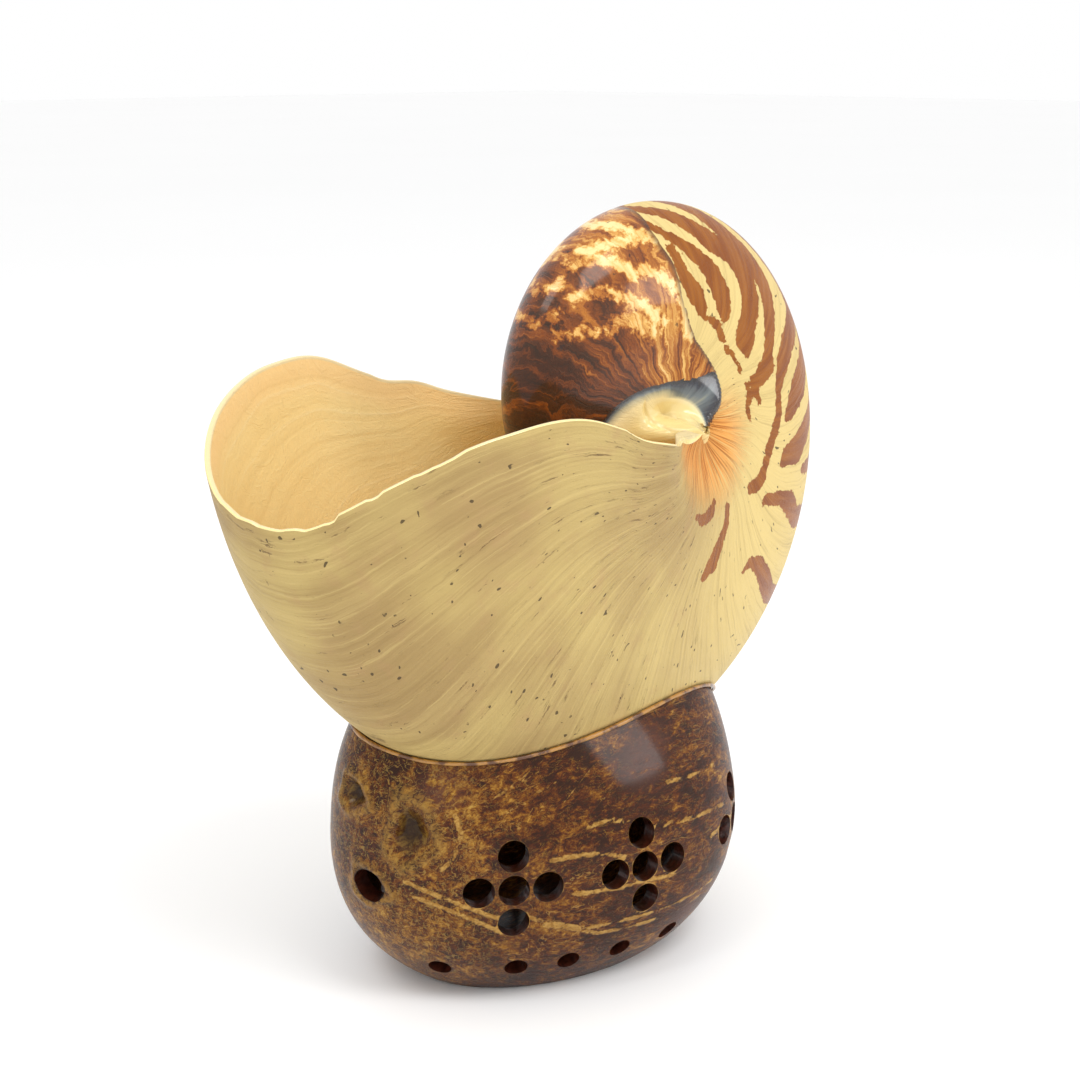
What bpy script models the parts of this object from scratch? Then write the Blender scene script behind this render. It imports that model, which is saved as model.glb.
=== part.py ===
"""A nautilus shell glued on a drilled coconut-shell stand.

Metres, +Z up. The opening of the nautilus faces -X, its coil axis lies along Y, and the origin is
the middle of the flat that the stand is ground to. A turn angle is counted about the coil axis
from -X upwards, in degrees, and grows towards the lip.
"""
import math

import bmesh
import bpy
import numpy as np
from mathutils import Matrix, Vector

# Driving sizes of the nautilus
COIL_X = 0.0297
COIL_Z = 0.1322
START_RADIUS = 0.03747
GROWTH_PER_TURN = 3.154
HALF_WIDTH = 0.352
SHOULDER = 0.381
OUTER_POWER = 2.058
WIDTH_POWER = 2.03
AXIS_SWELL = 0.118
SWELL_POWER = 2.2
SHOULDER_AT = 0.6
AXIS_RING = 0.0015

# The lip's turn angle, from the keel of the shell (0) to its axis (1), on either side
LIP_NEAR = ((0, 357), (0.14, 356.6), (0.3, 361.7), (0.43, 367.6), (0.55, 371.4), (0.66, 366.5),
            (0.78, 362), (0.9, 350), (1, 305))
LIP_FAR = ((0, 357), (0.14, 360.2), (0.3, 366.5), (0.43, 371.6), (0.52, 374), (0.63, 370),
           (0.78, 368), (0.9, 352), (1, 305))
# How far from the middle plane the shell ends on its axis, by turn angle: the lip's end stands on
# a cone that falls away in front of it, and the coil's own level follows
AXIS_LEVEL = ((-160, 0.025), (-60, 0.0265), (-30, 0.0235), (0, 0.0165), (35, 0.0142), (90, 0.016),
              (150, 0.019), (200, 0.022), (250, 0.026), (300, 0.0275), (380, 0.028))
# Where the flank starts to change to that level, from the shoulder (0) to the axis (1)
FALL_START = ((-160, 0.1), (0, 0.15), (60, 0.45), (200, 0.5), (260, 0.42), (350, 0.3))

# The wall of the living chamber and the last partition behind it
LIP_THICKNESS = 0.0013
LIP_BULGE_TURN = 0.25
WALL_THICKNESS = 0.0024
THICKENING_TURN = 25
WEDGE_START = 0.5
PARTITION_TURN = 205
PARTITION_DISH = 16

# Driving sizes of the coconut stand
NUT_CENTRE = (-0.0011, 0.0034, 0.0398)
NUT_HALF_LENGTH = 0.0548
NUT_HALF_WIDTH = 0.0396
NUT_HALF_HEIGHT = 0.0489
NUT_UPPER_POWER = 0.752
NUT_LOWER_POWER = 0.919
NUT_ROUND_POWER = 0.917
NUT_EGG = -0.267
NUT_UPPER_TAPER = 0.504
NUT_LOWER_TAPER = 0.168
NUT_TAPER_BEND = 0.25
NUT_YAW = math.radians(-3.8)
NUT_WALL = 0.0042
NUT_FLOOR = 0.0045
GAP = 0.0003

# How far the seat cut reaches round the shell and across it
SEAT_TURNS = (170, 350)
SEAT_ACROSS = 0.7

# Drilled ornament: five holes in a cross at each place round the stand, and a row near the foot
HOLE_RADIUS = 0.0037
HOLE_DEPTH = 0.014
CROSS_SPACING = 0.0082
CROSS_PLACES = (-138, -91, -47, 0, 45, 91, 138)
CROSS_HOLES = ((0, 0), (1, 0), (-1, 0), (0, 1), (0, -1))
CROSS_HEIGHT = 0.0318
FOOT_ROW_PLACES = (-163, -138, -118, -96, -74, -45, 14, 45, 74, 96, 118, 138, 163)
FOOT_ROW_HEIGHT = 0.0095
FOOT_HOLE_RADIUS = 0.0028

# The three eyes on the front end: place round the stand, height, radius, tallness and depth
EYES = ((178, 0.0535, 0.0038, 1, 0.003), (-166, 0.0465, 0.0046, 1.5, 0.0035),
        (-177, 0.032, 0.0042, 1, 0.014))

# The bead of glue along the seat
BEAD_RADIUS = 0.0007

# Colours, from light to dark: the nautilus, the glue and the varnished coconut
SHELL_COLOUR = (0.72, 0.56, 0.33)
GLUE_COLOUR = (0.45, 0.22, 0.05)
COCONUT_COLOUR = (0.16, 0.06, 0.02)
SHELL_ROUGHNESS = 0.45
GLUE_ROUGHNESS = 0.3
COCONUT_ROUGHNESS = 0.25

# Mesh fineness
TURN_STEPS = 46
CHAMBER_STEPS = 16
PARTITION_STEPS = 3
NUT_STEPS = (44, 18)
HOLLOW_STEPS = (28, 12)
SEAT_STEPS = 34
HOLE_SIDES = 12
BEAD_POINTS = 60
SMOOTH_ANGLE = math.radians(40)
ACROSS = (0, 0.07, 0.14, 0.22, 0.3, 0.38, 0.46, 0.53, 0.6, 0.7, 0.8, 0.9, 1)

# The search for a point on the nut: halvings, turns round it, and the up angles that it covers
HALVINGS = 40
ROUND_STEPS = 12
ROUND_PULL = 0.8
WALL_UP = (-1.4, 1.2)
SEAT_UP = (-0.6, 1.4)
SMALL_ACROSS = 0.002
SMALL_STEP = 0.0002
SMALL_HEIGHT = 0.001


def clear_scene():
    for item in list(bpy.data.objects):
        bpy.data.objects.remove(item, do_unlink=True)


def smooth_curve(points, at):
    """A smooth curve through the points: cubic pieces whose slopes are those of the neighbours."""
    xs = np.array([p[0] for p in points], float)
    ys = np.array([p[1] for p in points], float)
    slopes = np.gradient(ys, xs)
    at = np.clip(at, xs[0], xs[-1])
    k = np.clip(np.searchsorted(xs, at) - 1, 0, len(xs) - 2)
    width = xs[k + 1] - xs[k]
    t = (at - xs[k]) / width
    rise = ys[k] * (1 + 2 * t) * (1 - t) ** 2 + ys[k + 1] * t ** 2 * (3 - 2 * t)
    return rise + width * t * (1 - t) * (slopes[k] * (1 - t) - slopes[k + 1] * t)


def ease(value, low, high):
    """0 below low, 1 above high, and a smooth S between them."""
    t = np.clip((value - low) / (high - low), 0, 1)
    return t * t * (3 - 2 * t)


def coil_radius(turn):
    """The keel's distance from the axis grows by the same factor in every turn."""
    return START_RADIUS * GROWTH_PER_TURN ** (turn / 360)


def across_values():
    one_side = np.array(ACROSS, float)
    return np.concatenate([one_side[:0:-1], -one_side])


def lip_turn(across):
    near = smooth_curve(LIP_NEAR, np.abs(across))
    far = smooth_curve(LIP_FAR, np.abs(across))
    return np.where(across >= 0, near, far)


def whorl(turn, across):
    """Distance from the axis and from the middle plane: a rounded outer arch, then the flank."""
    size = coil_radius(turn)
    away = np.abs(across)
    t = np.clip(away / SHOULDER_AT, 0, 1) * math.pi / 2
    arch_out = SHOULDER + (1 - SHOULDER) * np.clip(np.cos(t), 0, 1) ** (2 / OUTER_POWER)
    arch_side = HALF_WIDTH * np.sin(t) ** (2 / WIDTH_POWER)
    q = np.clip((away - SHOULDER_AT) / (1 - SHOULDER_AT), 0, 1)
    flank_out = size * SHOULDER * (1 - q) + AXIS_RING * q
    swelling = size * HALF_WIDTH * (1 + AXIS_SWELL * q ** SWELL_POWER)
    end = size * HALF_WIDTH * (1 + AXIS_SWELL) - smooth_curve(AXIS_LEVEL, turn)
    flank_side = swelling - end * ease(q, smooth_curve(FALL_START, turn), 1)
    out = np.where(away > SHOULDER_AT, flank_out, size * arch_out)
    side = np.where(away > SHOULDER_AT, flank_side, size * arch_side)
    return out, side * np.sign(across)


def offset_whorl(turn, across, inwards):
    """The whorl's section moved inwards along its own normal."""
    before = whorl(turn, np.clip(across - SMALL_ACROSS, -1, 1))
    after = whorl(turn, np.clip(across + SMALL_ACROSS, -1, 1))
    run, rise = after[0] - before[0], after[1] - before[1]
    length = np.hypot(run, rise)
    out, side = whorl(turn, across)
    return out - inwards * rise / length, side + inwards * run / length


def chamber_wall(turn, across):
    """The inner face of the wall: thin at the lip, and meeting the coil below near the axis."""
    back = ease(lip_turn(across) - turn, 0, THICKENING_TURN)
    thickness = LIP_THICKNESS + (WALL_THICKNESS - LIP_THICKNESS) * back
    out, side = offset_whorl(turn, across, thickness)
    below = whorl(turn - 360, np.sign(across))
    q = (np.abs(across) - SHOULDER_AT) / (1 - SHOULDER_AT)
    meet = ease(q, WEDGE_START, 1)
    return out * (1 - meet) + below[0] * meet, side * (1 - meet) + below[1] * meet


def to_world(turn, out, side):
    angle = np.radians(turn)
    x = COIL_X - out * np.cos(angle)
    z = COIL_Z + out * np.sin(angle)
    return np.stack([x, -side, z], -1)


def shell_rows():
    """Rows of points that run back over the coil, out to the lip, in again and down to the coil."""
    across = across_values()
    lip = lip_turn(across)
    rows = []
    for k in range(CHAMBER_STEPS):
        turn = PARTITION_TURN - 360 + (lip - PARTITION_TURN) * k / CHAMBER_STEPS
        rows.append(to_world(turn, *whorl(turn, across)))
    for k in range(TURN_STEPS + 1):
        turn = lip - 360 + 360 * k / TURN_STEPS
        rows.append(to_world(turn, *whorl(turn, across)))
    outer = whorl(lip, across)
    inner = chamber_wall(lip, across)
    bulge = lip + LIP_BULGE_TURN
    rows.append(to_world(bulge, (outer[0] + inner[0]) / 2, (outer[1] + inner[1]) / 2))
    for k in range(CHAMBER_STEPS + 1):
        turn = lip + (PARTITION_TURN - lip) * k / CHAMBER_STEPS
        rows.append(to_world(turn, *chamber_wall(turn, across)))
    wall = chamber_wall(PARTITION_TURN + 0 * lip, across)
    coil = whorl(PARTITION_TURN - 360 + 0 * lip, across)
    for k in range(1, PARTITION_STEPS + 1):
        part = k / (PARTITION_STEPS + 1)
        turn = PARTITION_TURN - PARTITION_DISH * math.sin(math.pi * part)
        out = wall[0] * (1 - part) + coil[0] * part
        side = wall[1] * (1 - part) + coil[1] * part
        rows.append(to_world(turn, out, side))
    return np.array(rows)


def mesh_object(name, bm, material=None):
    mesh = bpy.data.meshes.new(name)
    bm.to_mesh(mesh)
    bm.free()
    item = bpy.data.objects.new(name, mesh)
    bpy.context.scene.collection.objects.link(item)
    if material:
        mesh.materials.append(material)
        mesh.shade_smooth()
        mesh.set_sharp_from_angle(angle=SMOOTH_ANGLE)
    return item


def principled(name, colour, roughness):
    material = bpy.data.materials.new(name)
    material.use_nodes = True
    shader = material.node_tree.nodes["Principled BSDF"]
    shader.inputs["Base Color"].default_value = (*colour, 1)
    shader.inputs["Roughness"].default_value = roughness
    shader.inputs["Metallic"].default_value = 0
    return material


def make_nautilus():
    """One closed skin: the rows make a loop, and a fan of triangles closes it on either side."""
    rows = shell_rows()
    bm = bmesh.new()
    points = [[bm.verts.new(point) for point in row] for row in rows]
    count = len(points)
    for k, row in enumerate(points):
        following = points[(k + 1) % count]
        for j in range(len(row) - 1):
            bm.faces.new((row[j], following[j], following[j + 1], row[j + 1]))
    first, last = CHAMBER_STEPS, CHAMBER_STEPS + TURN_STEPS + 2
    for column, flip in ((0, False), (-1, True)):
        ring = [points[k][column] for k in range(first, last)]
        level = sum(vert.co.y for vert in ring) / len(ring)
        pole = bm.verts.new((COIL_X, level, COIL_Z))
        for a, b in zip(ring, ring[1:] + ring[:1]):
            bm.faces.new((a, b, pole) if flip else (b, a, pole))
    bmesh.ops.remove_doubles(bm, verts=bm.verts, dist=1e-6)
    bmesh.ops.dissolve_degenerate(bm, edges=bm.edges, dist=1e-7)
    bmesh.ops.recalc_face_normals(bm, faces=bm.faces)
    return mesh_object("nautilus_shell", bm, principled("shell", SHELL_COLOUR, SHELL_ROUGHNESS))


def signed_power(value, power):
    return math.copysign(abs(value) ** power, value)


def nut_point(round_angle, up_angle, grow=0.0):
    """A superellipsoid, narrower towards its eyed end and towards the top."""
    upright = NUT_UPPER_POWER if up_angle > 0 else NUT_LOWER_POWER
    level = signed_power(math.cos(up_angle), upright)
    lengthwise = level * signed_power(math.cos(round_angle), NUT_ROUND_POWER)
    x = (NUT_HALF_LENGTH + grow) * lengthwise
    y = (NUT_HALF_WIDTH + grow) * level * signed_power(math.sin(round_angle), NUT_ROUND_POWER)
    height = signed_power(math.sin(up_angle), upright)
    z = (NUT_HALF_HEIGHT + grow) * height
    y *= 1 + NUT_EGG * lengthwise
    mean_taper = (NUT_UPPER_TAPER + NUT_LOWER_TAPER) / 2
    bend = (NUT_UPPER_TAPER - NUT_LOWER_TAPER) / 2
    y *= 1 - mean_taper * height - bend * (math.hypot(height, NUT_TAPER_BEND) - NUT_TAPER_BEND)
    x, y = (x * math.cos(NUT_YAW) - y * math.sin(NUT_YAW),
            x * math.sin(NUT_YAW) + y * math.cos(NUT_YAW))
    return Vector((-x, -y, z)) + Vector(NUT_CENTRE)


def nut_body(name, grow, bottom, steps, material=None):
    """The nut as a closed skin, larger or smaller by the growth, ending flat at the bottom."""
    steps_round, steps_up = steps
    drop = (bottom - NUT_CENTRE[2]) / (NUT_HALF_HEIGHT + grow)
    lowest = math.asin(signed_power(drop, 1 / NUT_LOWER_POWER))
    bm = bmesh.new()
    rings = []
    for k in range(steps_up):
        up = lowest + (math.pi / 2 - lowest) * k / steps_up
        rings.append([bm.verts.new(nut_point(2 * math.pi * j / steps_round, up, grow))
                      for j in range(steps_round)])
    for lower, upper in zip(rings, rings[1:]):
        for j in range(steps_round):
            n = (j + 1) % steps_round
            bm.faces.new((lower[j], lower[n], upper[n], upper[j]))
    bm.faces.new(rings[0])
    top = bm.verts.new(nut_point(0, math.pi / 2, grow))
    for j in range(steps_round):
        bm.faces.new((rings[-1][j], rings[-1][(j + 1) % steps_round], top))
    bmesh.ops.recalc_face_normals(bm, faces=bm.faces)
    return mesh_object(name, bm, material)


def seat_cutter():
    """The keel side of the nautilus, larger by the gap, as a closed curved bar."""
    across = np.array([a for a in across_values() if abs(a) <= SEAT_ACROSS])
    bm = bmesh.new()
    rings = []
    for turn in np.linspace(*SEAT_TURNS, SEAT_STEPS):
        out, side = offset_whorl(turn + 0 * across, across, -GAP)
        points = to_world(turn + 0 * across, out, side)
        rings.append([bm.verts.new(point) for point in points])
    for a, b in zip(rings, rings[1:]):
        for j in range(len(a)):
            n = (j + 1) % len(a)
            bm.faces.new((a[j], b[j], b[n], a[n]))
    bm.faces.new(rings[0])
    bm.faces.new(rings[-1])
    bmesh.ops.recalc_face_normals(bm, faces=bm.faces)
    return mesh_object("seat_cutter", bm)


def nut_wall_point(place, height):
    """The point of the stand's outside at a place round it and a height, and the way outwards."""
    direction = math.radians(place)

    def find(height_wanted):
        low, high = WALL_UP
        for _ in range(HALVINGS):
            up = (low + high) / 2
            point = along(up)
            low, high = (up, high) if point.z < height_wanted else (low, up)
        return along((low + high) / 2)

    def along(up):
        wanted = Vector((math.cos(direction), math.sin(direction)))
        round_angle = math.atan2(-wanted.y, -wanted.x)
        for _ in range(ROUND_STEPS):
            point = nut_point(round_angle, up)
            offset = Vector((point.x - NUT_CENTRE[0], point.y - NUT_CENTRE[1]))
            round_angle += math.atan2(offset.x * wanted.y - offset.y * wanted.x,
                                      offset.dot(wanted)) * ROUND_PULL
        return nut_point(round_angle, up)

    point = find(height)
    upward = find(height + SMALL_HEIGHT) - find(height - SMALL_HEIGHT)
    direction += SMALL_HEIGHT
    sideways = find(height) - point
    normal = sideways.cross(upward).normalized()
    if normal.dot(point - Vector(NUT_CENTRE)) < 0:
        normal.negate()
    return point, normal, upward.normalized()


def drill(bm, point, normal, radius, depth, tallness=1):
    """A round cutter that goes in by its depth and stands out by as much."""
    turn = normal.to_track_quat("Z", "Y").to_matrix().to_4x4()
    taller = Matrix.Scale(tallness, 4, (0, 1, 0))
    bmesh.ops.create_cone(bm, cap_ends=True, segments=HOLE_SIDES, radius1=radius, radius2=radius,
                          depth=2 * depth, matrix=Matrix.Translation(point) @ turn @ taller)


def hole_cutter():
    bm = bmesh.new()
    for place in CROSS_PLACES:
        point, normal, upward = nut_wall_point(place, CROSS_HEIGHT)
        sideways = normal.cross(upward)
        for right, up in CROSS_HOLES:
            spot = point + (sideways * right + upward * up) * CROSS_SPACING
            drill(bm, spot, normal, HOLE_RADIUS, HOLE_DEPTH / 2)
    for place in FOOT_ROW_PLACES:
        point, normal, _ = nut_wall_point(place, FOOT_ROW_HEIGHT)
        drill(bm, point, normal, FOOT_HOLE_RADIUS, HOLE_DEPTH / 2)
    for place, height, radius, tallness, depth in EYES:
        point, normal, _ = nut_wall_point(place, height)
        drill(bm, point, normal, radius, depth, tallness)
    return mesh_object("hole_cutter", bm)


def cut(item, cutter):
    cutter.hide_render = True
    cutter.display_type = "WIRE"
    modifier = item.modifiers.new(cutter.name, "BOOLEAN")
    modifier.operation = "DIFFERENCE"
    modifier.solver = "EXACT"
    modifier.object = cutter


def make_stand():
    """The nut's wall, hollow inside, cut to the nautilus above, flat below and drilled round."""
    stand = nut_body("coconut_stand", 0, 0, NUT_STEPS,
                     principled("coconut", COCONUT_COLOUR, COCONUT_ROUGHNESS))
    cut(stand, nut_body("hollow_cutter", -NUT_WALL, NUT_FLOOR, HOLLOW_STEPS))
    cut(stand, seat_cutter())
    cut(stand, hole_cutter())
    return stand


def arch_value(point):
    """0 on the keel side's surface, above 0 outside: the two powers of the arch added up."""
    dx, dz = COIL_X - point.x, point.z - COIL_Z
    size = coil_radius(math.degrees(math.atan2(dz, dx)) % 360)
    out = max((math.hypot(dx, dz) / size - SHOULDER) / (1 - SHOULDER), 0)
    side = abs(point.y) / size / HALF_WIDTH
    return math.sqrt(out ** OUTER_POWER + side ** WIDTH_POWER) - 1


def distance_to_arch(point):
    """About how far a point is from the keel side: its value over the value's slope."""
    value = arch_value(point)
    steps = (Vector((SMALL_STEP, 0, 0)), Vector((0, SMALL_STEP, 0)), Vector((0, 0, SMALL_STEP)))
    slope = Vector([(arch_value(point + step) - value) / SMALL_STEP for step in steps])
    return value / slope.length


def seat_line(clearance):
    """Points where the nut's outside, grown by the clearance, is that far from the nautilus."""
    points = []
    for k in range(BEAD_POINTS):
        round_angle = 2 * math.pi * k / BEAD_POINTS
        low, high = SEAT_UP
        for _ in range(HALVINGS):
            up = (low + high) / 2
            outside = distance_to_arch(nut_point(round_angle, up, clearance)) > clearance
            low, high = (up, high) if outside else (low, up)
        points.append(nut_point(round_angle, (low + high) / 2, clearance))
    return points


def make_bead():
    """The glue that squeezed out along the seat, as a thin closed ring."""
    curve = bpy.data.curves.new("glue_bead", "CURVE")
    curve.dimensions = "3D"
    curve.bevel_depth = BEAD_RADIUS
    curve.bevel_resolution = 1
    points = seat_line(BEAD_RADIUS + GAP)
    spline = curve.splines.new("POLY")
    spline.points.add(len(points) - 1)
    for target, point in zip(spline.points, points):
        target.co = (*point, 1)
    spline.use_cyclic_u = True
    item = bpy.data.objects.new("glue_bead", curve)
    bpy.context.scene.collection.objects.link(item)
    curve.materials.append(principled("glue", GLUE_COLOUR, GLUE_ROUGHNESS))
    return item


def main():
    clear_scene()
    make_nautilus()
    make_stand()
    make_bead()


main()
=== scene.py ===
"""The looks of a nautilus shell glued on a drilled coconut-shell stand, built round the CAD frame.

Metres, +Z up, in the frame's own axes: the opening faces -X and the coil's axis lies along Y. A turn
angle is counted about the coil's axis from -X upwards, in degrees, and grows towards the lip. A place
across the shell runs from -1, the far end of the axis, over the keel at 0, to 1, the near end.
"""
import math

import bmesh
import bpy
import numpy as np
from bpy.props import FloatProperty, FloatVectorProperty, PointerProperty
from mathutils import Matrix, Vector


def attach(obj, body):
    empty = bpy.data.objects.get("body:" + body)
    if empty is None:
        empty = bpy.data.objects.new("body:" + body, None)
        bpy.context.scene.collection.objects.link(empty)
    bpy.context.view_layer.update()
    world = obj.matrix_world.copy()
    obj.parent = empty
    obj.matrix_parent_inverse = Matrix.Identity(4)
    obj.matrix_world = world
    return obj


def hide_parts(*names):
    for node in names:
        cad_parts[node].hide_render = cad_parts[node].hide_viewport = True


bl_info = {
    "name": "Nautilus on a Coconut Stand",
    "version": (1, 0, 0),
    "blender": (4, 5, 0),
    "location": "View3D > Sidebar > Nautilus",
    "description": "Builds a nautilus shell on its drilled coconut-shell stand",
    "category": "Add Mesh",
}

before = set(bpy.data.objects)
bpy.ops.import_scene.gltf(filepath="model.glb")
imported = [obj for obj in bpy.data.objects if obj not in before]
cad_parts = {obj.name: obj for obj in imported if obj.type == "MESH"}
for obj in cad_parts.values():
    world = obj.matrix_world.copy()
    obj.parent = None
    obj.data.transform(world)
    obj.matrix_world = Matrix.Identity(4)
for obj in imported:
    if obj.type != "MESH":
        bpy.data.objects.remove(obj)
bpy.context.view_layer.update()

MM = 0.001

# Lengths that count as nothing, and the distance in mm that is written where no line is near
MERGE = 1e-6
EMPTY_EDGE = 1e-7
TINY = 1e-12
FAR_AWAY = 60.0
# Small steps for taking slopes (across the shell, in space, up and round the wall), and halvings
SMALL_ACROSS = 0.002
SMALL_STEP = 0.0002
SMALL_HEIGHT = 0.001
HALVINGS = 40

# The nautilus, as the frame has it; the start radius is a little less, to stay within the solid
COIL_X = 0.0297
COIL_Z = 0.1322
START_RADIUS = 0.0374
GROWTH_PER_TURN = 3.154
HALF_WIDTH = 0.352
SHOULDER = 0.381
OUTER_POWER = 2.058
WIDTH_POWER = 2.03
AXIS_SWELL = 0.118
SWELL_POWER = 2.2
SHOULDER_AT = 0.6
AXIS_RING = 0.0015
LIP_AT_KEEL = 357
LIP_NEAR = ((0, 357), (0.14, 356.6), (0.3, 361.7), (0.43, 367.6), (0.55, 371.4), (0.66, 366.5),
            (0.78, 362), (0.9, 350), (1, 305))
LIP_FAR = ((0, 357), (0.14, 360.2), (0.3, 366.5), (0.43, 371.6), (0.52, 374), (0.63, 370),
           (0.78, 368), (0.9, 352), (1, 305))
AXIS_LEVEL = ((-160, 0.025), (-60, 0.0265), (-30, 0.0235), (0, 0.0165), (35, 0.0142), (90, 0.016),
              (150, 0.019), (200, 0.022), (250, 0.026), (300, 0.0275), (380, 0.028))
FALL_START = ((-160, 0.1), (0, 0.15), (60, 0.45), (200, 0.5), (260, 0.42), (350, 0.3))
LIP_THICKNESS = 0.0013
WALL_THICKNESS = 0.0024
THICKENING_TURN = 25
WEDGE_START = 0.5
# The rolled edge of the lip, how far into the coil and the chamber the chips reach, and their flat part
LIP_BULGE = 0.7
LEAST_OUT = 0.01
CHIPS_REACH_OUT = 0.93
CHIPS_REACH_IN = 0.12
CHIP_FLAT = 0.55
GIRTH_SPREAD = 1.3
PARTITION_TURN = 205
PARTITION_DISH = 16

# Rows of the nautilus, and its columns over the arch and down the flank
COIL_ROWS = 290
CHAMBER_ROWS = 84
ROLL_ROWS = 6
PARTITION_ROWS = 8
NEAR_COLUMNS = (70, 30)
FAR_COLUMNS = (56, 28)

# The chips in the lip: place across, half width there, and depth in mm
CHIPS = ((0.075, 0.04, 0.35), (0.165, 0.035, 0.7), (0.19, 0.012, 1.0), (0.262, 0.012, 0.5),
         (0.335, 0.014, 0.4), (0.362, 0.02, 0.6), (-0.07, 0.03, 0.3))

# Lines on the skin as (turn, across) or (turn, across, half width in mm), each part cut in four
LINE_STEPS = 4
CREASE = ((89.7, 0), (89.7, 0.11), (89, 0.22), (90, 0.3), (93, 0.38), (94.7, 0.48), (100, 0.56),
          (107.7, 0.61), (117.2, 0.66), (128.2, 0.7), (137.7, 0.73), (152.4, 0.78), (163.9, 0.83),
          (175.9, 0.88), (218, 0.95), (262, 1))
# Beside the crease the skin drops in this many mm, comes back over the next and fades with the last,
# which are distances from the axis
CREASE_STEP = 0.9
CREASE_RECOVERY = 9
CREASE_FADE = (18, 50)
CALLUS_EDGE = ((-60, 0.3), (-20, 0.42), (6.4, 0.5), (15.9, 0.55), (28.2, 0.61), (41.5, 0.7),
               (60.2, 0.77), (78.7, 0.8), (91.5, 0.81), (120.7, 0.79), (131.2, 0.74), (137.7, 0.735),
               (152.4, 0.785), (163.9, 0.835), (175.9, 0.885), (218, 0.955), (262, 1))
RIDGE = ((46, 0.72, -2), (34, 0.765, -0.8), (28, 0.79, -0.2), (16, 0.825, 0), (2, 0.86, 0),
         (-20, 0.885, -0.3), (-49, 0.9, -1.5))
RIDGE_HEIGHT = 0.0005
RIDGE_SOFTNESS = 0.7
FLAMES = (
    ((93.2, 0.314, 1.4), (97.2, 0.414, 2), (103, 0.474, 2.6), (108.2, 0.521, 1.6)),
    ((108.2, 0.53, 0.9), (111.2, 0.541, 0.9), (120.2, 0.551, 1.2), (126.5, 0.574, 1),
     (135.9, 0.598, 0.8), (141.4, 0.596, 0.6), (151.4, 0.616, 1), (154, 0.625, 0.3)),
    ((88, 0.15, 0.8), (90.7, 0.212, 1.1), (95.2, 0.272, 1.4), (103.5, 0.342, 2.1), (111.5, 0.399, 2.9),
     (117.7, 0.454, 3.2), (122.2, 0.499, 2.6), (125, 0.526, 1)),
    ((88, 0, 1.6), (92.7, 0.097, 1.7), (98, 0.155, 2), (105, 0.227, 2.7), (112.7, 0.289, 3.4),
     (122.5, 0.317, 3.4), (130.2, 0.364, 3.9), (135.7, 0.431, 3.7), (139.4, 0.504, 3.4),
     (141.9, 0.536, 3.6), (149.4, 0.566, 0.8)),
    ((103, 0, 2.6), (109, 0.09, 3), (116.2, 0.18, 3.5), (123.2, 0.242, 3.5), (129.4, 0.269, 3.6),
     (135.2, 0.302, 3.5), (140.7, 0.334, 3.4), (146.7, 0.397, 3), (152.4, 0.459, 2.3),
     (157.2, 0.496, 1.8), (161.9, 0.524, 2.9), (164.9, 0.574, 2.2), (164.9, 0.606, 0.8)),
    ((163.2, 0.589, 1.5), (170.7, 0.591, 1.2), (176.7, 0.594, 0.8)),
    ((168.4, 0.586, 1), (171.2, 0.631, 0.8), (163.4, 0.628, 0.8)),
    ((170.4, 0.641, 1.2), (179.9, 0.676, 0.8), (187.2, 0.671, 0.4)),
    ((118, 0, 2.4), (127.7, 0.097, 2.8), (136.7, 0.135, 3.2), (149.7, 0.18, 3.4), (156.4, 0.22, 3.6),
     (159.2, 0.294, 3.6), (161.4, 0.392, 3.4), (164.9, 0.449, 3.2), (168.9, 0.484, 2),
     (175.4, 0.514, 1.4), (182.4, 0.524, 1.4), (190.9, 0.549, 1.6), (200.7, 0.576, 1.6),
     (210.9, 0.589, 1.3), (217.7, 0.596, 2), (225.7, 0.646, 1.6)),
    ((134, 0, 2.5), (146, 0.1, 3), (155.4, 0.16, 3.2), (164, 0.21, 3.3), (170, 0.26, 3.6),
     (173.2, 0.33, 4.2), (177.7, 0.409, 4.2), (182.9, 0.464, 2.6), (186.4, 0.491, 1.4)),
    ((150, 0, 2.6), (163, 0.09, 3.2), (176, 0.17, 3), (184, 0.26, 2.8), (188.9, 0.344, 3.2),
     (192.4, 0.392, 3.6), (196.7, 0.436, 4), (200.4, 0.494, 2.8), (203.7, 0.516, 1.4)),
    ((168, 0, 2.5), (182, 0.1, 3), (194, 0.2, 2.6), (200, 0.3, 2.2), (202.2, 0.38, 1.6)),
    ((190, 0, 2.4), (203, 0.12, 2.8), (211, 0.25, 3), (215.9, 0.379, 3), (214.7, 0.444, 3.4),
     (215.9, 0.501, 1.9), (221.4, 0.556, 1.5), (225.9, 0.569, 0.7)),
    ((209, 0, 1.2), (222, 0.12, 2.2), (231, 0.25, 2.6), (236.7, 0.357, 3), (238.2, 0.419, 3.2),
     (239.9, 0.486, 2.6), (244.2, 0.524, 1.4), (251.2, 0.534, 0.5)),
    ((254.9, 0.741, 1.4), (258.2, 0.693, 1.4), (264.4, 0.663, 1.6), (268.2, 0.638, 2),
     (272.9, 0.606, 2.4), (278.9, 0.589, 1)),
    ((277.2, 0.8, 1), (282.2, 0.773, 1.8), (291.4, 0.761, 1.5), (306.2, 0.768, 0.5)),
)
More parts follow.
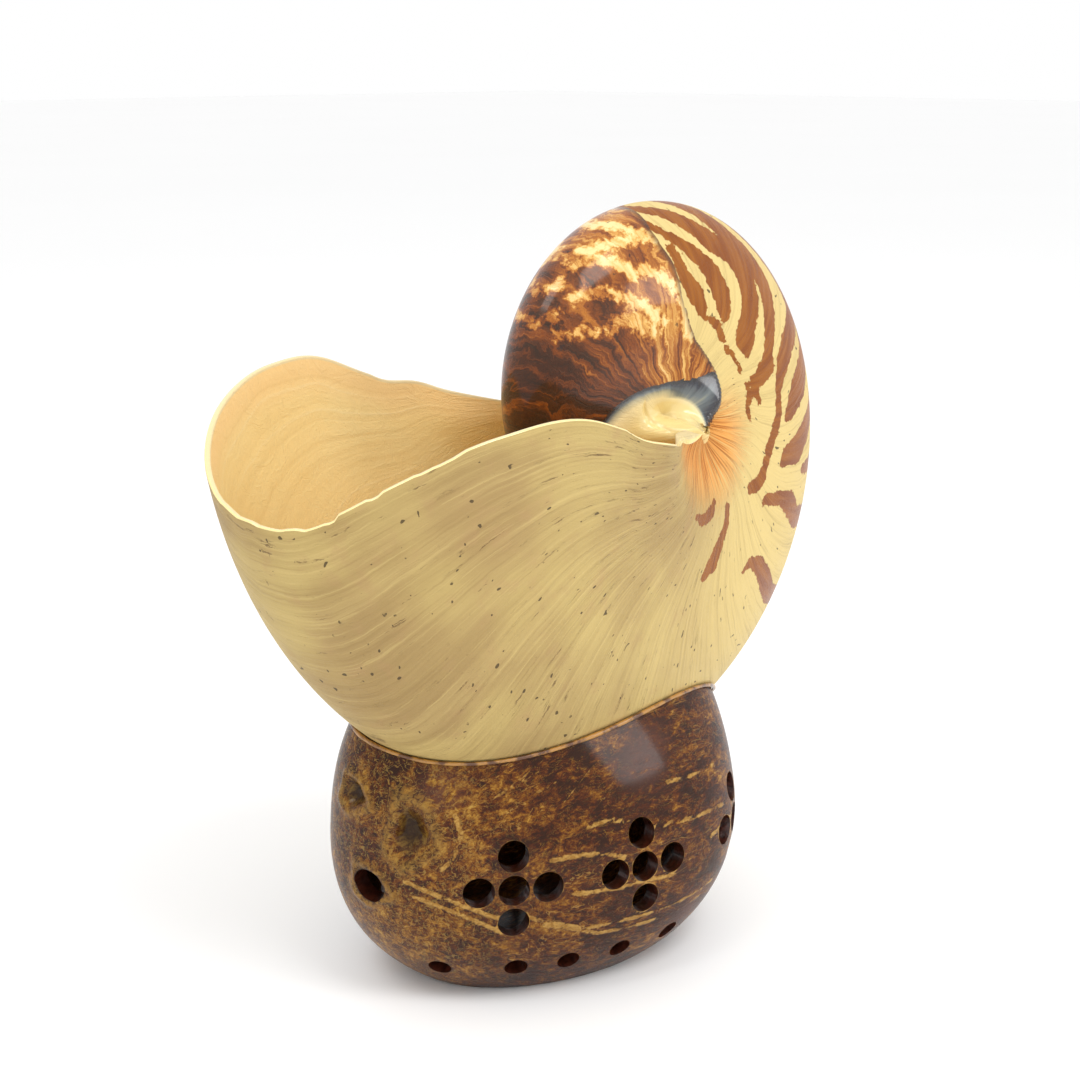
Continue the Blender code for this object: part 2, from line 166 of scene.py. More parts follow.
SWIRLS = (
    ((61.2, 0, 0.7), (62.2, 0.067, 1.3), (67.2, 0.13, 1.2), (71.7, 0.167, 1.1), (78.7, 0.209, 1.1),
     (85.5, 0.227, 1.2), (89, 0.262, 1.2)),
    ((75.2, 0.015, 1), (79.7, 0.115, 1.1), (82, 0.19, 1), (85.5, 0.227, 0.9)),
    ((61.5, 0, 0.8), (60.2, 0.11, 1.4), (65.7, 0.185, 1.4), (69.7, 0.254, 1.3), (73.7, 0.324, 1.3),
     (83, 0.377, 1.2), (89, 0.431, 1.1), (92.5, 0.479, 1.2), (96, 0.551, 0.9), (98.2, 0.589, 0.6)),
    ((50, 0.199, 1), (56.2, 0.254, 1), (62.7, 0.332, 1.2), (66.2, 0.401, 1.2), (74.5, 0.476, 1.2),
     (80.2, 0.531, 0.8)),
    ((55.5, 0.409, 1.4), (65.5, 0.471, 1.8), (70, 0.539, 1.1)),
    ((36, 0.202, 0.5), (39.2, 0.264, 0.7), (44.2, 0.344, 0.6), (50, 0.411, 0.4)),
    ((39.2, -0.05, 0.7), (37.5, 0.062, 1), (40.2, 0.137, 0.7), (43, 0.162, 0.5)),
    ((45, -0.05, 0.4), (48.7, 0.065, 0.8), (52.7, 0.112, 0.8)),
)

# The stand, as the frame has it; its half length and width are a little less, as above
NUT_CENTRE = (-0.0011, 0.0034, 0.0398)
NUT_HALF_LENGTH = 0.0547
NUT_HALF_WIDTH = 0.0395
NUT_HALF_HEIGHT = 0.0489
NUT_UPPER_POWER = 0.752
NUT_LOWER_POWER = 0.919
NUT_ROUND_POWER = 0.917
NUT_EGG = -0.267
NUT_UPPER_TAPER = 0.504
NUT_LOWER_TAPER = 0.168
NUT_TAPER_BEND = 0.25
NUT_YAW = math.radians(-3.8)
NUT_WALL = 0.0042
NUT_FLOOR = 0.0045
GAP = 0.0003
HOLE_DEPTH = 0.014
CROSS_SPACING = 0.0082
CROSS_HEIGHT = 0.0318
CROSS_PLACES = (-138, -91, -47, 0, 45, 91, 138)
FOOT_ROW_PLACES = (-163, -138, -118, -96, -74, -45, 14, 45, 74, 96, 118, 138, 163)
FOOT_ROW_HEIGHT = 0.0095
CROSS_HOLES = ((0, 0), (1, 0), (-1, 0), (0, 1), (0, -1))
# Each eye: place round the stand, height, radius, how many times taller than wide, and depth
EYES = ((178, 0.0535, 0.0038, 1, 0.003), (-166, 0.0465, 0.0046, 1.5, 0.0035),
        (-177, 0.032, 0.0042, 1, 0.014))
EYE_RIM = 0.0005
EYE_RIM_AT = 1.25
EYE_RIM_SPREAD = 0.22
EYE_BOWL_SHARE = 0.85
EYE_BOWL = (0.25, 1.05)
# Waves in an eye's edge: size, count and start
EYE_WAVES = ((0.12, 3, 1), (0.08, 5, 0))
EYE_DEPTH = 3
OUT_OF_EYE = 9
# Where the rings of the front end come in, as distances towards -X
FRONT_END = (0.026, 0.046)

# Marks on the stand: lines as (place round it, height in mm), and patches with their radius in mm
CRACK = ((-66.3, 64.4), (-68.2, 60.7), (-69.7, 56.2), (-70.4, 50.9))
FIBRES = (
    ((-75.6, 49.3), (-65.8, 48.6), (-53.5, 48.3)),
    ((-83.6, 40.5), (-73.7, 39.7), (-64.8, 39.2), (-55.4, 38.5)),
    ((-125.9, 37.9), (-114.3, 38), (-106, 37.1), (-98.1, 35.3)),
    ((-118.4, 29), (-100.6, 27.9), (-92.7, 28.3), (-80, 27.5)),
    ((-133.1, 24.4), (-113.1, 19.1), (-93, 18.6), (-75.6, 18.9), (-60.1, 19.9)),
    ((-128, 22), (-108, 16.8), (-88, 16), (-66, 17)),
    ((-167, 34.7), (-161, 32.3), (-154.7, 29.7), (-149.7, 27.7), (-140, 24)),
    ((-165, 31), (-158, 28.6), (-150, 25), (-142, 21)),
    ((-112, 44), (-103, 44.6), (-94, 43)), ((-64, 33), (-56, 34), (-46, 33.5)),
    ((-155.5, 50.5), (-153.5, 46), (-155, 41), (-158, 38)),
    ((30, 40), (60, 41.5), (95, 39)), ((110, 24), (130, 22), (160, 25)), ((10, 18), (40, 16.5), (80, 18)),
)
SCRATCHES = (
    ((-155.4, 49.7), (-143, 54), (-128.7, 57.9)), ((-150, 46), (-138, 51), (-122, 55)),
    ((-146, 53), (-136, 57), (-127, 60)), ((-158, 52), (-148, 56.5), (-139, 60)),
    ((-104, 49), (-97, 53), (-92, 55)), ((-121, 50), (-112, 54), (-104, 57)),
    ((-134, 47), (-126, 50.5)), ((-96, 58), (-90, 61)),
)
TAN_PATCHES = ((-154, 45, 9), (-146, 39, 7), (-128, 50, 6), (-60, 45, 6), (-55, 26, 6), (-75, 43, 4))
# Purple patches of painted sheen: a reflection of the lamps laid into the colour
PAINTED_SHEEN_PATCHES = ((-82, 55, 7), (-74, 58, 6), (-160, 56, 5), (-69, 14, 6))
NUT_COLUMNS = 330
OUTSIDE_ROWS = 110
RIM_ROWS = 4
INSIDE_ROWS = 30
DISC_ROWS = 8
DISC_START = 0.04
HOLE_SIDES = 36
SMOOTH_ANGLE = math.radians(40)
# Up angles between which the seat and the wall are looked for, and the steps round to a place
SEAT_UP = (-0.6, 1.4)
WALL_UP = (-1.4, 1.2)
ROUND_STEPS = 12
ROUND_PULL = 0.8

# The glue: the waves in its thickness, and its thin end at the stand's rear, where wall and shell part
GLUE_STEPS = 480
GLUE_SIDES = 12
GLUE_WAVES = (3, 5, 8, 13, 21, 34)
GLUE_MEAN = 0.72
GLUE_SWING = 0.3
GLUE_LEAST = 0.4
GLUE_CENTRE = (0, 0, 0.03)
GLUE_TAIL_DROP = 0.6
GLUE_TAIL_REACH = 0.3
GLUE_GAP = 0.0002

# Colours that stay as they are, with those of the skin first
WIDE_LINE = (0.36, 0.25, 0.09)
FINE_LINE = (0.26, 0.165, 0.06)
LOW_STAIN = (0.42, 0.25, 0.12)
CRACK_BROWN = (0.12, 0.07, 0.03)
DASH_BROWN = (0.17, 0.11, 0.05)
PIT_BLACK = (0.05, 0.035, 0.02)
RAY_BROWN = (0.33, 0.08, 0.008)
FILM_BROWN = (0.055, 0.012, 0.003)
FILM_ORANGE = (0.42, 0.14, 0.015)
FILM_CREAM = (0.9, 0.66, 0.3)
SPECK_BLACK = (0.012, 0.007, 0.01)
CREASE_SHADE = (0.03, 0.01, 0.004)
GLAZE_BLACK = (0.008, 0.008, 0.012)
GLAZE_DARK = (0.02, 0.025, 0.04)
GLAZE_GREY = (0.5, 0.46, 0.3)
GLAZE_WARM = (0.95, 0.75, 0.32)
HONEY = (0.86, 0.6, 0.24)
FRONT_HONEY = (0.84, 0.68, 0.32)
# Lighter honey deep in the chamber is painted light
DEEP_WALL_PAINTED_LIGHT = (0.96, 0.7, 0.33)
PEACH = (0.9, 0.58, 0.26)
BAND_LIGHT = (0.93, 0.78, 0.45)
BAND_DARK = (0.6, 0.36, 0.11)
NUT_BLACK = (0.016, 0.002, 0.001)
NUT_WARM = (0.17, 0.055, 0.003)
NUT_GOLD = (0.48, 0.27, 0.045)
# The purple of the painted sheen
NUT_PAINTED_SHEEN = (0.1, 0.04, 0.03)
RING_TAN = (0.3, 0.18, 0.04)
CURL_TAN = (0.33, 0.16, 0.02)
FIBRE_DARK = (0.3, 0.14, 0.02)
FIBRE_LIGHT = (0.5, 0.29, 0.07)
EYE_BROWN = (0.05, 0.018, 0.006)
EYE_GREEN = (0.17, 0.1, 0.02)
# Painted shade in the middle of the eyes
EYE_PAINTED_SHADE = (0.014, 0.005, 0.002)
RIM_TAN = (0.3, 0.165, 0.03)
CRACK_BLACK = (0.012, 0.004, 0.002)
HOLE_DARK = (0.02, 0.004, 0.002)
HOLE_RED = (0.07, 0.014, 0.006)
GLUE_BROWN = (0.1, 0.03, 0.004)
FLOOR_SHADE = (0.96, 0.96, 0.96)

# The photo's viewpoint
CAMERA_FORWARD = (0.6833, 0.6790, -0.2685)
CAMERA_RIGHT = (0.7049, -0.7093, 0)
CAMERA_OFFSET = (-0.31605, -0.28548, 0.0849)
CAMERA_LENS = 57.87
CAMERA_SENSOR = 36

# The studio: each light is (name, size, place)
FLOOR_HALF = 8.0
FLOOR_LEVEL = -0.0003
LIGHT_TARGET = (0, 0, 0.1)
LIGHTS = (("key", 0.4, (-0.05, -0.59, 0.98)), ("side", 0.3, (0.42, -0.85, 0.46)),
          ("fill", 0.3, (-0.5, 0.05, 0.9)))


def colour_property(name, description, default):
    return FloatVectorProperty(name=name, description=description, subtype="COLOR", size=3, min=0,
                               max=1, default=default)


def power_property(name, description, default):
    return FloatProperty(name=name, description=description, default=default, min=0)


class ShellLook(bpy.types.PropertyGroup):
    crease_height: FloatProperty(
        name="Crease Height", description="How far the striped flank stands over the dark film",
        default=0.0012, min=0, max=0.003, unit="LENGTH")
    chip_depth: FloatProperty(
        name="Lip Chips", description="Scale of the chips in the lip", default=1, min=0, max=3)
    cream: colour_property("Cream", "The plain shell", (0.5, 0.37, 0.14))
    cream_light: colour_property("Light Cream", "The shell between the stripes", (0.68, 0.52, 0.21))
    rim: colour_property("Lip Edge", "The lip's thin pale edge", (0.74, 0.62, 0.36))
    buff: colour_property("Buff", "The shell's darker weathered patches", (0.37, 0.25, 0.1))
    flame: colour_property("Flame", "The rust stripes", (0.21, 0.052, 0.003))
    flame_light: colour_property("Light Flame", "Their lighter streaks", (0.3, 0.095, 0.008))
    film_dark: colour_property("Dark Film", "The film's darkest brown", (0.02, 0.006, 0.003))
    film_rust: colour_property("Rust Film", "The film's rust brown", (0.2, 0.045, 0.004))
    film_gold: colour_property("Gold Film", "The film's golden patches", (0.72, 0.4, 0.1))
    callus_cream: colour_property("Callus", "The glazed callus", (0.95, 0.8, 0.44))
    callus_blue: colour_property("Callus Edge", "The callus towards its edge", (0.13, 0.16, 0.17))
    inside: colour_property("Inside", "The living chamber's wall", (0.84, 0.52, 0.16))
    pink: colour_property("Pink", "The wrinkles round the axis", (0.78, 0.33, 0.075))


class StandLook(bpy.types.PropertyGroup):
    hole_radius: FloatProperty(
        name="Hole Radius", description="Radius of the holes in the crosses",
        default=0.0037, min=0.001, max=0.0045, unit="LENGTH")
    foot_hole_radius: FloatProperty(
        name="Foot Hole Radius", description="Radius of the holes near the foot",
        default=0.0028, min=0.001, max=0.004, unit="LENGTH")
    dark: colour_property("Dark Nut", "The varnished shell's dark red brown", (0.05, 0.007, 0.001))
    brown: colour_property("Brown Nut", "The varnished shell's middle brown", (0.1, 0.024, 0.002))
    tan: colour_property("Tan Fibre", "The fibres and flecks", (0.3, 0.135, 0.016))


class GlueLook(bpy.types.PropertyGroup):
    width: FloatProperty(
        name="Glue Width", description="Half the width of the glue along the seat",
        default=0.0007, min=0.0003, max=0.0009, unit="LENGTH")
    amber: colour_property("Amber", "The dried glue", (0.42, 0.2, 0.035))


class StageLook(bpy.types.PropertyGroup):
    floor: colour_property("Floor", "The studio floor", (0.98, 0.98, 0.98))
    key: power_property("Key Light", "Power of the high front light", 3.4)
    side: power_property("Side Light", "Power of the low right light", 1.6)
    fill: power_property("Fill Light", "Power of the light over the opening", 1.5)


class NautilusLook(bpy.types.PropertyGroup):
    shell: PointerProperty(type=ShellLook)
    stand: PointerProperty(type=StandLook)
    glue: PointerProperty(type=GlueLook)
    stage: PointerProperty(type=StageLook)


# Shader maths

class Shade:
    """A number or colour over the surface. Sums, differences, products and quotients add Math nodes."""

    def __init__(self, paint, socket):
        self.paint = paint
        self.socket = socket

    def math(self, operation, *values):
        return self.paint.node("ShaderNodeMath", {"operation": operation}, dict(enumerate(values)))

    def __add__(self, other):
        return self.math("ADD", self, other)

    def __sub__(self, other):
        return self.math("SUBTRACT", self, other)

    def __rsub__(self, other):
        return self.math("SUBTRACT", other, self)

    def __mul__(self, other):
        return self.math("MULTIPLY", self, other)

    def __truediv__(self, other):
        return self.math("DIVIDE", self, other)

    def __rtruediv__(self, other):
        return self.math("DIVIDE", other, self)

    __radd__ = __add__
    __rmul__ = __mul__

    def step(self, low, high):
        """0 at low, 1 at high, smooth between them."""
        return self.paint.node(
            "ShaderNodeMapRange", {"interpolation_type": "SMOOTHSTEP"},
            {"Value": self, "From Min": low, "From Max": high, "To Min": 0.0, "To Max": 1.0})

    def veins(self, thinness, low=0.1, high=1.0):
        """1 on the lines where the noise crosses its middle value, 0 away from them."""
        off = self - 0.5
        return 1 - (off * off * thinness).step(low, high)


class Paint:
    """One material: its tree, and the steps that its recipe is written in.

    Noise scales are per mm, and most attributes are distances in mm.
    """

    def __init__(self, name, constants=None):
        self.material = bpy.data.materials.new(name)
        self.material.use_nodes = True
        self.tree = self.material.node_tree
        self.shader = self.tree.nodes["Principled BSDF"]
        for key, value in (constants or {}).items():
            self.shader.inputs[key].default_value = value

    def node(self, kind, settings=None, sockets=None, output=0):
        """Adds a node: first its settings, a ramp's stops among them, and then its sockets."""
        node = self.tree.nodes.new(kind)
        for key, value in (settings or {}).items():
            if key == "stops":
                self.set_stops(node.color_ramp.elements, value)
            else:
                setattr(node, key, value)
        for key, value in (sockets or {}).items():
            self.feed(node.inputs[key], value)
        return Shade(self, node.outputs[output])

    def feed(self, socket, value):
        if isinstance(value, Shade):
            self.tree.links.new(value.socket, socket)
        elif socket.type == "RGBA" and len(value) == 3:
            socket.default_value = (*value, 1)
        else:
            socket.default_value = value

    def attribute(self, name):
        return self.node("ShaderNodeAttribute", {"attribute_name": name}, output="Fac")

    def attributes(self, *names):
        return [self.attribute(name) for name in names]

    def place(self, stretch=(1, 1, 1)):
        """Object coordinates in mm, each axis multiplied by its stretch."""
        spot = self.node("ShaderNodeTexCoord", output="Object")
        return self.node("ShaderNodeVectorMath", {"operation": "MULTIPLY"},
                         {0: spot, 1: tuple(s / MM for s in stretch)})

    def along(self, x, y, z=0.0):
        """A place made of numbers that change along and across the shell, for noise to read."""
        return self.node("ShaderNodeCombineXYZ", sockets={"X": x, "Y": y, "Z": z})

    def noise(self, vector, scale, detail=3.0, roughness=0.5, distortion=0.0):
        return self.node("ShaderNodeTexNoise", sockets={
            "Vector": vector, "Scale": scale, "Detail": detail, "Roughness": roughness,
            "Distortion": distortion})

    def set_stops(self, elements, stops):
        for _ in stops[2:]:
            elements.new(1)
        for element, (spot, colour) in zip(elements, stops):
            element.position = spot
            element.color = (*colour, 1)

    def ramp(self, value, stops):
        """Colours by value: each stop is (place, colour)."""
        return self.node("ShaderNodeValToRGB", {"stops": stops}, {"Fac": value})

    def mix(self, factor, first, second):
        return self.node("ShaderNodeMix", {"data_type": "RGBA"}, {0: factor, 6: first, 7: second},
                         output=2)

    def layers(self, colour, *layers):
        """Colours laid over each other: each layer is (how much of it, its colour)."""
        for factor, layer in layers:
            colour = self.mix(factor, colour, layer)
        return colour

    def finish(self, colour, roughness, bumps, coat=None):
        """Feeds the shader. Bumps are (height in mm, strength), and each stands on the one before."""
        self.feed(self.shader.inputs["Base Color"], colour)
        self.feed(self.shader.inputs["Roughness"], roughness)
        normal = None
        for height, strength in bumps:
            sockets = {"Height": height, "Strength": strength, "Distance": MM}
            if normal:
                sockets["Normal"] = normal
            normal = self.node("ShaderNodeBump", sockets=sockets)
        self.feed(self.shader.inputs["Normal"], normal)
        if coat:
            self.feed(self.shader.inputs["Coat Weight"], coat)
        return self.material


# Shapes shared with the frame

def smooth_curve(points, at):
    """Cubic pieces through the points, whose slopes are those of the neighbours."""
    xs = np.array([p[0] for p in points], float)
    ys = np.array([p[1] for p in points], float)
    slopes = np.gradient(ys, xs)
    at = np.clip(at, xs[0], xs[-1])
    k = np.clip(np.searchsorted(xs, at) - 1, 0, len(xs) - 2)
    width = xs[k + 1] - xs[k]
    t = (at - xs[k]) / width
    rise = ys[k] * (1 + 2 * t) * (1 - t) ** 2 + ys[k + 1] * t ** 2 * (3 - 2 * t)
    return rise + width * t * (1 - t) * (slopes[k] * (1 - t) - slopes[k + 1] * t)


def ease(value, low, high):
    """0 below low, 1 above high, and a smooth S between them."""
    t = np.clip((value - low) / (high - low), 0, 1)
    return t * t * (3 - 2 * t)


def coil_radius(turn):
    """The keel's distance from the axis: it grows by the same factor in every turn."""
    return START_RADIUS * GROWTH_PER_TURN ** (turn / 360)


def turn_at_radius(radius):
    """The turn at which the keel is that far from the axis."""
    return 360 * np.log(radius / START_RADIUS) / math.log(GROWTH_PER_TURN)


def lip_turn(across):
    """The turn at which the shell ends, which differs a little between the two sides."""
    near = smooth_curve(LIP_NEAR, np.abs(across))
    far = smooth_curve(LIP_FAR, np.abs(across))
    return np.where(across >= 0, near, far)


def chipping(across):
    """The chips' depth: each is a flat-topped bump with steep sides."""
    depth = np.zeros_like(across)
    for centre, half, deep in CHIPS:
        depth = np.maximum(depth, deep * MM * (1 - ease(np.abs(across - centre) / half,
                                                          CHIP_FLAT, 1)))
    return depth


def whorl(turn, across):
    """Distance from the axis and from the middle plane: a rounded outer arch, then the flank.

    The arch is out = shoulder + (1 - shoulder) cos(t)^(2/p), side = half width sin(t)^(2/w), times
    the coil's radius; the flank runs straight in to the axis, swelling, and falls to its level there.
    """
    size = coil_radius(turn)
    away = np.abs(across)
    t = np.clip(away / SHOULDER_AT, 0, 1) * math.pi / 2
    arch_out = SHOULDER + (1 - SHOULDER) * np.clip(np.cos(t), 0, 1) ** (2 / OUTER_POWER)
    arch_side = HALF_WIDTH * np.sin(t) ** (2 / WIDTH_POWER)
    q = np.clip((away - SHOULDER_AT) / (1 - SHOULDER_AT), 0, 1)
    flank_out = size * SHOULDER * (1 - q) + AXIS_RING * q
    swelling = size * HALF_WIDTH * (1 + AXIS_SWELL * q ** SWELL_POWER)
    end = size * HALF_WIDTH * (1 + AXIS_SWELL) - smooth_curve(AXIS_LEVEL, turn)
    flank_side = swelling - end * ease(q, smooth_curve(FALL_START, turn), 1)
    out = np.where(away > SHOULDER_AT, flank_out, size * arch_out)
    side = np.where(away > SHOULDER_AT, flank_side, size * arch_side)
    return out, side * np.sign(across)


def offset_whorl(turn, across, inwards):
    """The whorl's section moved inwards along its own normal."""
    before = whorl(turn, np.clip(across - SMALL_ACROSS, -1, 1))
    after = whorl(turn, np.clip(across + SMALL_ACROSS, -1, 1))
    run, rise = after[0] - before[0], after[1] - before[1]
    length = np.hypot(run, rise)
    out, side = whorl(turn, across)
    return out - inwards * rise / length, side + inwards * run / length


def chamber_wall(turn, across, lip):
    """The wall's inner face: thin at the lip, and meeting the coil below it near the axis."""
    back = ease(lip - turn, 0, THICKENING_TURN)
    thickness = LIP_THICKNESS + (WALL_THICKNESS - LIP_THICKNESS) * back
    out, side = offset_whorl(turn, across, thickness)
    below = whorl(turn - 360, np.sign(across))
    q = (np.abs(across) - SHOULDER_AT) / (1 - SHOULDER_AT)
    meet = ease(q, WEDGE_START, 1)
    return out * (1 - meet) + below[0] * meet, side * (1 - meet) + below[1] * meet


def to_world(turn, out, side):
    """x = coil's x - out cos(turn), y = -side, z = coil's z + out sin(turn)."""
    angle = np.radians(turn)
    x = COIL_X - out * np.cos(angle)
    z = COIL_Z + out * np.sin(angle)
    return np.stack([x, -side, z], -1)


def skin_point(turn, across):
    return to_world(turn, *whorl(turn, across))


def half_columns(arch, flank):
    """Places from the keel to the axis: so many steps over the arch, and so many down the flank."""
    return np.concatenate([np.linspace(0, SHOULDER_AT, arch + 1),
                           np.linspace(SHOULDER_AT, 1, flank + 1)[1:]])


def shell_columns():
    return np.concatenate([half_columns(*NEAR_COLUMNS)[:0:-1], -half_columns(*FAR_COLUMNS)])


def unit(vectors):
    return vectors / np.maximum(np.linalg.norm(vectors, axis=-1, keepdims=True), TINY)


def line_points(line, side):
    """A line on the skin cut finer: its points in world space and its half widths in mm."""
    line = np.array(line, float)
    at = np.linspace(0, len(line) - 1, (len(line) - 1) * LINE_STEPS + 1)
    columns = [np.interp(at, np.arange(len(line)), line[:, j]) for j in range(line.shape[1])]
    half = columns[2] if len(columns) > 2 else 0 * at
    return skin_point(columns[0], side * columns[1]), half


def nearness(points, lines):
    """Distance in mm from each point to the nearest line, less that line's half width there.

    Each line is its points and its half widths. The distance is to the nearest point of each piece.
    """
    nearest = np.full(len(points), FAR_AWAY)
    for knots, half in lines:
        for a, b, wide_a, wide_b in zip(knots, knots[1:], half, half[1:]):
            run = b - a
            t = np.clip((points - a) @ run / max(run @ run, TINY), 0, 1)
            gap = np.linalg.norm(points - a - t[:, None] * run, axis=1) / MM
            nearest = np.minimum(nearest, gap - wide_a - (wide_b - wide_a) * t)
    return nearest


def both_sides(points, near, lines):
    """Nearness to the lines on the near side and to their mirror images on the far side."""
    result = np.empty(len(points))
    for chosen, side in ((near, 1), (~near, -1)):
        result[chosen] = nearness(points[chosen], [line_points(line, side) for line in lines])
    return result


def quads(rows, columns, count):
    """Quads between neighbouring rows; with as many as there are rows, the last meets the first."""
    k, j = np.meshgrid(np.arange(count), np.arange(columns - 1), indexing="ij")
    following = (k + 1) % rows
    return np.stack([k * columns + j, following * columns + j, following * columns + j + 1,
                     k * columns + j + 1], -1).reshape(-1, 4).tolist()


def clean_mesh(name, points, faces, attributes):
    """A mesh whose seams are merged, whose faces all have an area, and whose normals point out."""
    mesh = bpy.data.meshes.new(name)
    mesh.from_pydata(points, [], faces)
    for key, values in attributes.items():
        layer = mesh.attributes.new(key, "FLOAT", "POINT")
        layer.data.foreach_set("value", values.astype(np.float32))
    bm = bmesh.new()
    bm.from_mesh(mesh)
    bmesh.ops.remove_doubles(bm, verts=bm.verts, dist=MERGE)
    bmesh.ops.dissolve_degenerate(bm, edges=bm.edges, dist=EMPTY_EDGE)
    bmesh.ops.recalc_face_normals(bm, faces=bm.faces)
    bm.to_mesh(mesh)
    bm.free()
    return mesh


def closed_grid(name, grid, attributes, poles=()):
    """A mesh from rows that make a loop; each pole is (column, first row, last row, point)."""
    rows, columns = grid.shape[:2]
    points = grid.reshape(-1, 3)
    faces = quads(rows, columns, rows)
    for n, (column, first, last, _) in enumerate(poles):
        ring = np.arange(first, last + 1) * columns + column % columns
        tip = np.full(len(ring), len(points) + n)
        faces += np.stack([ring, np.roll(ring, -1), tip], -1).tolist()
    tips = [first * columns + column % columns for column, first, _, _ in poles]
    attributes = {key: np.concatenate([values, values[tips]]) for key, values in attributes.items()}
    if poles:
        points = np.concatenate([points, [pole[-1] for pole in poles]])
    return clean_mesh(name, points, faces, attributes)


def add_piece(name, mesh, node, materials):
    """Puts a piece in the scene, and tells the frame what it rides, replaces and is made of."""
    item = bpy.data.objects.new(name, mesh)
    bpy.context.scene.collection.objects.link(item)
    for material in materials:
        mesh.materials.append(material)
    mesh.shade_smooth()
    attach(item, "root")
    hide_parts(node)
    return item


# The nautilus

def crease_drop(points, turn, across, look):
    """How far the skin sinks beside the crease, and the signed distance in mm from the crease."""
    distance = both_sides(points, across >= 0, (CREASE,))
    edge = smooth_curve([(a, t) for t, a in CREASE], np.abs(across))
    signed = np.where(turn < edge, distance, -distance)
    radius = np.hypot(points[:, 0] - COIL_X, points[:, 2] - COIL_Z)
    fade = 1 - ease(radius / MM, *CREASE_FADE)
    recovery = np.exp(-np.maximum(signed, 0) / CREASE_RECOVERY)
    return look.crease_height * fade * ease(signed, 0, CREASE_STEP) * recovery, signed


def callus_distance(points, turn, across):
    """Signed distance in mm from the callus's edge, above 0 on the callus."""
    distance = both_sides(points, across >= 0, (CALLUS_EDGE,))
    edge = smooth_curve(CALLUS_EDGE, turn)
    return np.where(np.abs(across) > edge, distance, -distance)


def shell_grid(look):
    """The nautilus as one loop of rows: the coil's floor, the coil, the lip, the wall and back."""
    across = shell_columns()
    lip = lip_turn(across)
    chipped = lip - np.degrees(look.chip_depth * chipping(across) / coil_radius(lip))
    first = PARTITION_TURN - 360
    turns, outs, sides, inside = [], [], [], []

    def add(turn, section, within):
        turns.append(turn)
        outs.append(section[0])
        sides.append(section[1])
        inside.append(within + 0 * turn)

    # the coil's skin under the chamber, and then the whole outside
    part = np.arange(CHAMBER_ROWS)[:, None] / CHAMBER_ROWS
    turn = first + (lip - 360 - first) * part
    add(turn, whorl(turn, across), 0)
    part = np.linspace(0, 1, COIL_ROWS + 1)[:, None]
    turn = turn_at_radius(coil_radius(lip - 360) * (1 - part) + coil_radius(lip) * part)
    turn = turn + (chipped - lip) * ease(part, CHIPS_REACH_OUT, 1)
    add(turn, whorl(turn, across), 0)
    # the lip, rolled over from the outer face to the inner one
    outer = whorl(chipped, across)
    inner = chamber_wall(chipped, across, chipped)
    bend = np.linspace(0, math.pi, ROLL_ROWS + 2)[1:-1, None]
    blend = (1 - np.cos(bend)) / 2
    half = np.minimum(np.hypot(outer[0] - inner[0], outer[1] - inner[1]) / 2, LIP_THICKNESS / 2)
    forward = np.degrees(half * LIP_BULGE / np.maximum(outer[0], LEAST_OUT))
    out = outer[0] * (1 - blend) + inner[0] * blend
    side = outer[1] * (1 - blend) + inner[1] * blend
    add(chipped + forward * np.sin(bend), (out, side), blend)
    # the chamber's wall, and then the dished partition back down to the coil
    part = np.arange(CHAMBER_ROWS + 1)[:, None] / CHAMBER_ROWS
    turn = lip + (PARTITION_TURN - lip) * part + (chipped - lip) * (1 - ease(part, 0, CHIPS_REACH_IN))
    add(turn, chamber_wall(turn, across, chipped), 1)
    wall = chamber_wall(PARTITION_TURN + 0 * across, across, chipped)
    coil = whorl(first + 0 * across, across)
    part = (np.arange(1, PARTITION_ROWS + 1) / (PARTITION_ROWS + 1))[:, None]
    turn = PARTITION_TURN - PARTITION_DISH * np.sin(math.pi * part) + 0 * across
    add(turn, (wall[0] * (1 - part) + coil[0] * part, wall[1] * (1 - part) + coil[1] * part), 1)
    stacked = [np.concatenate(rows) for rows in (turns, outs, sides, inside)]
    return across[None, :] + 0 * stacked[0], stacked


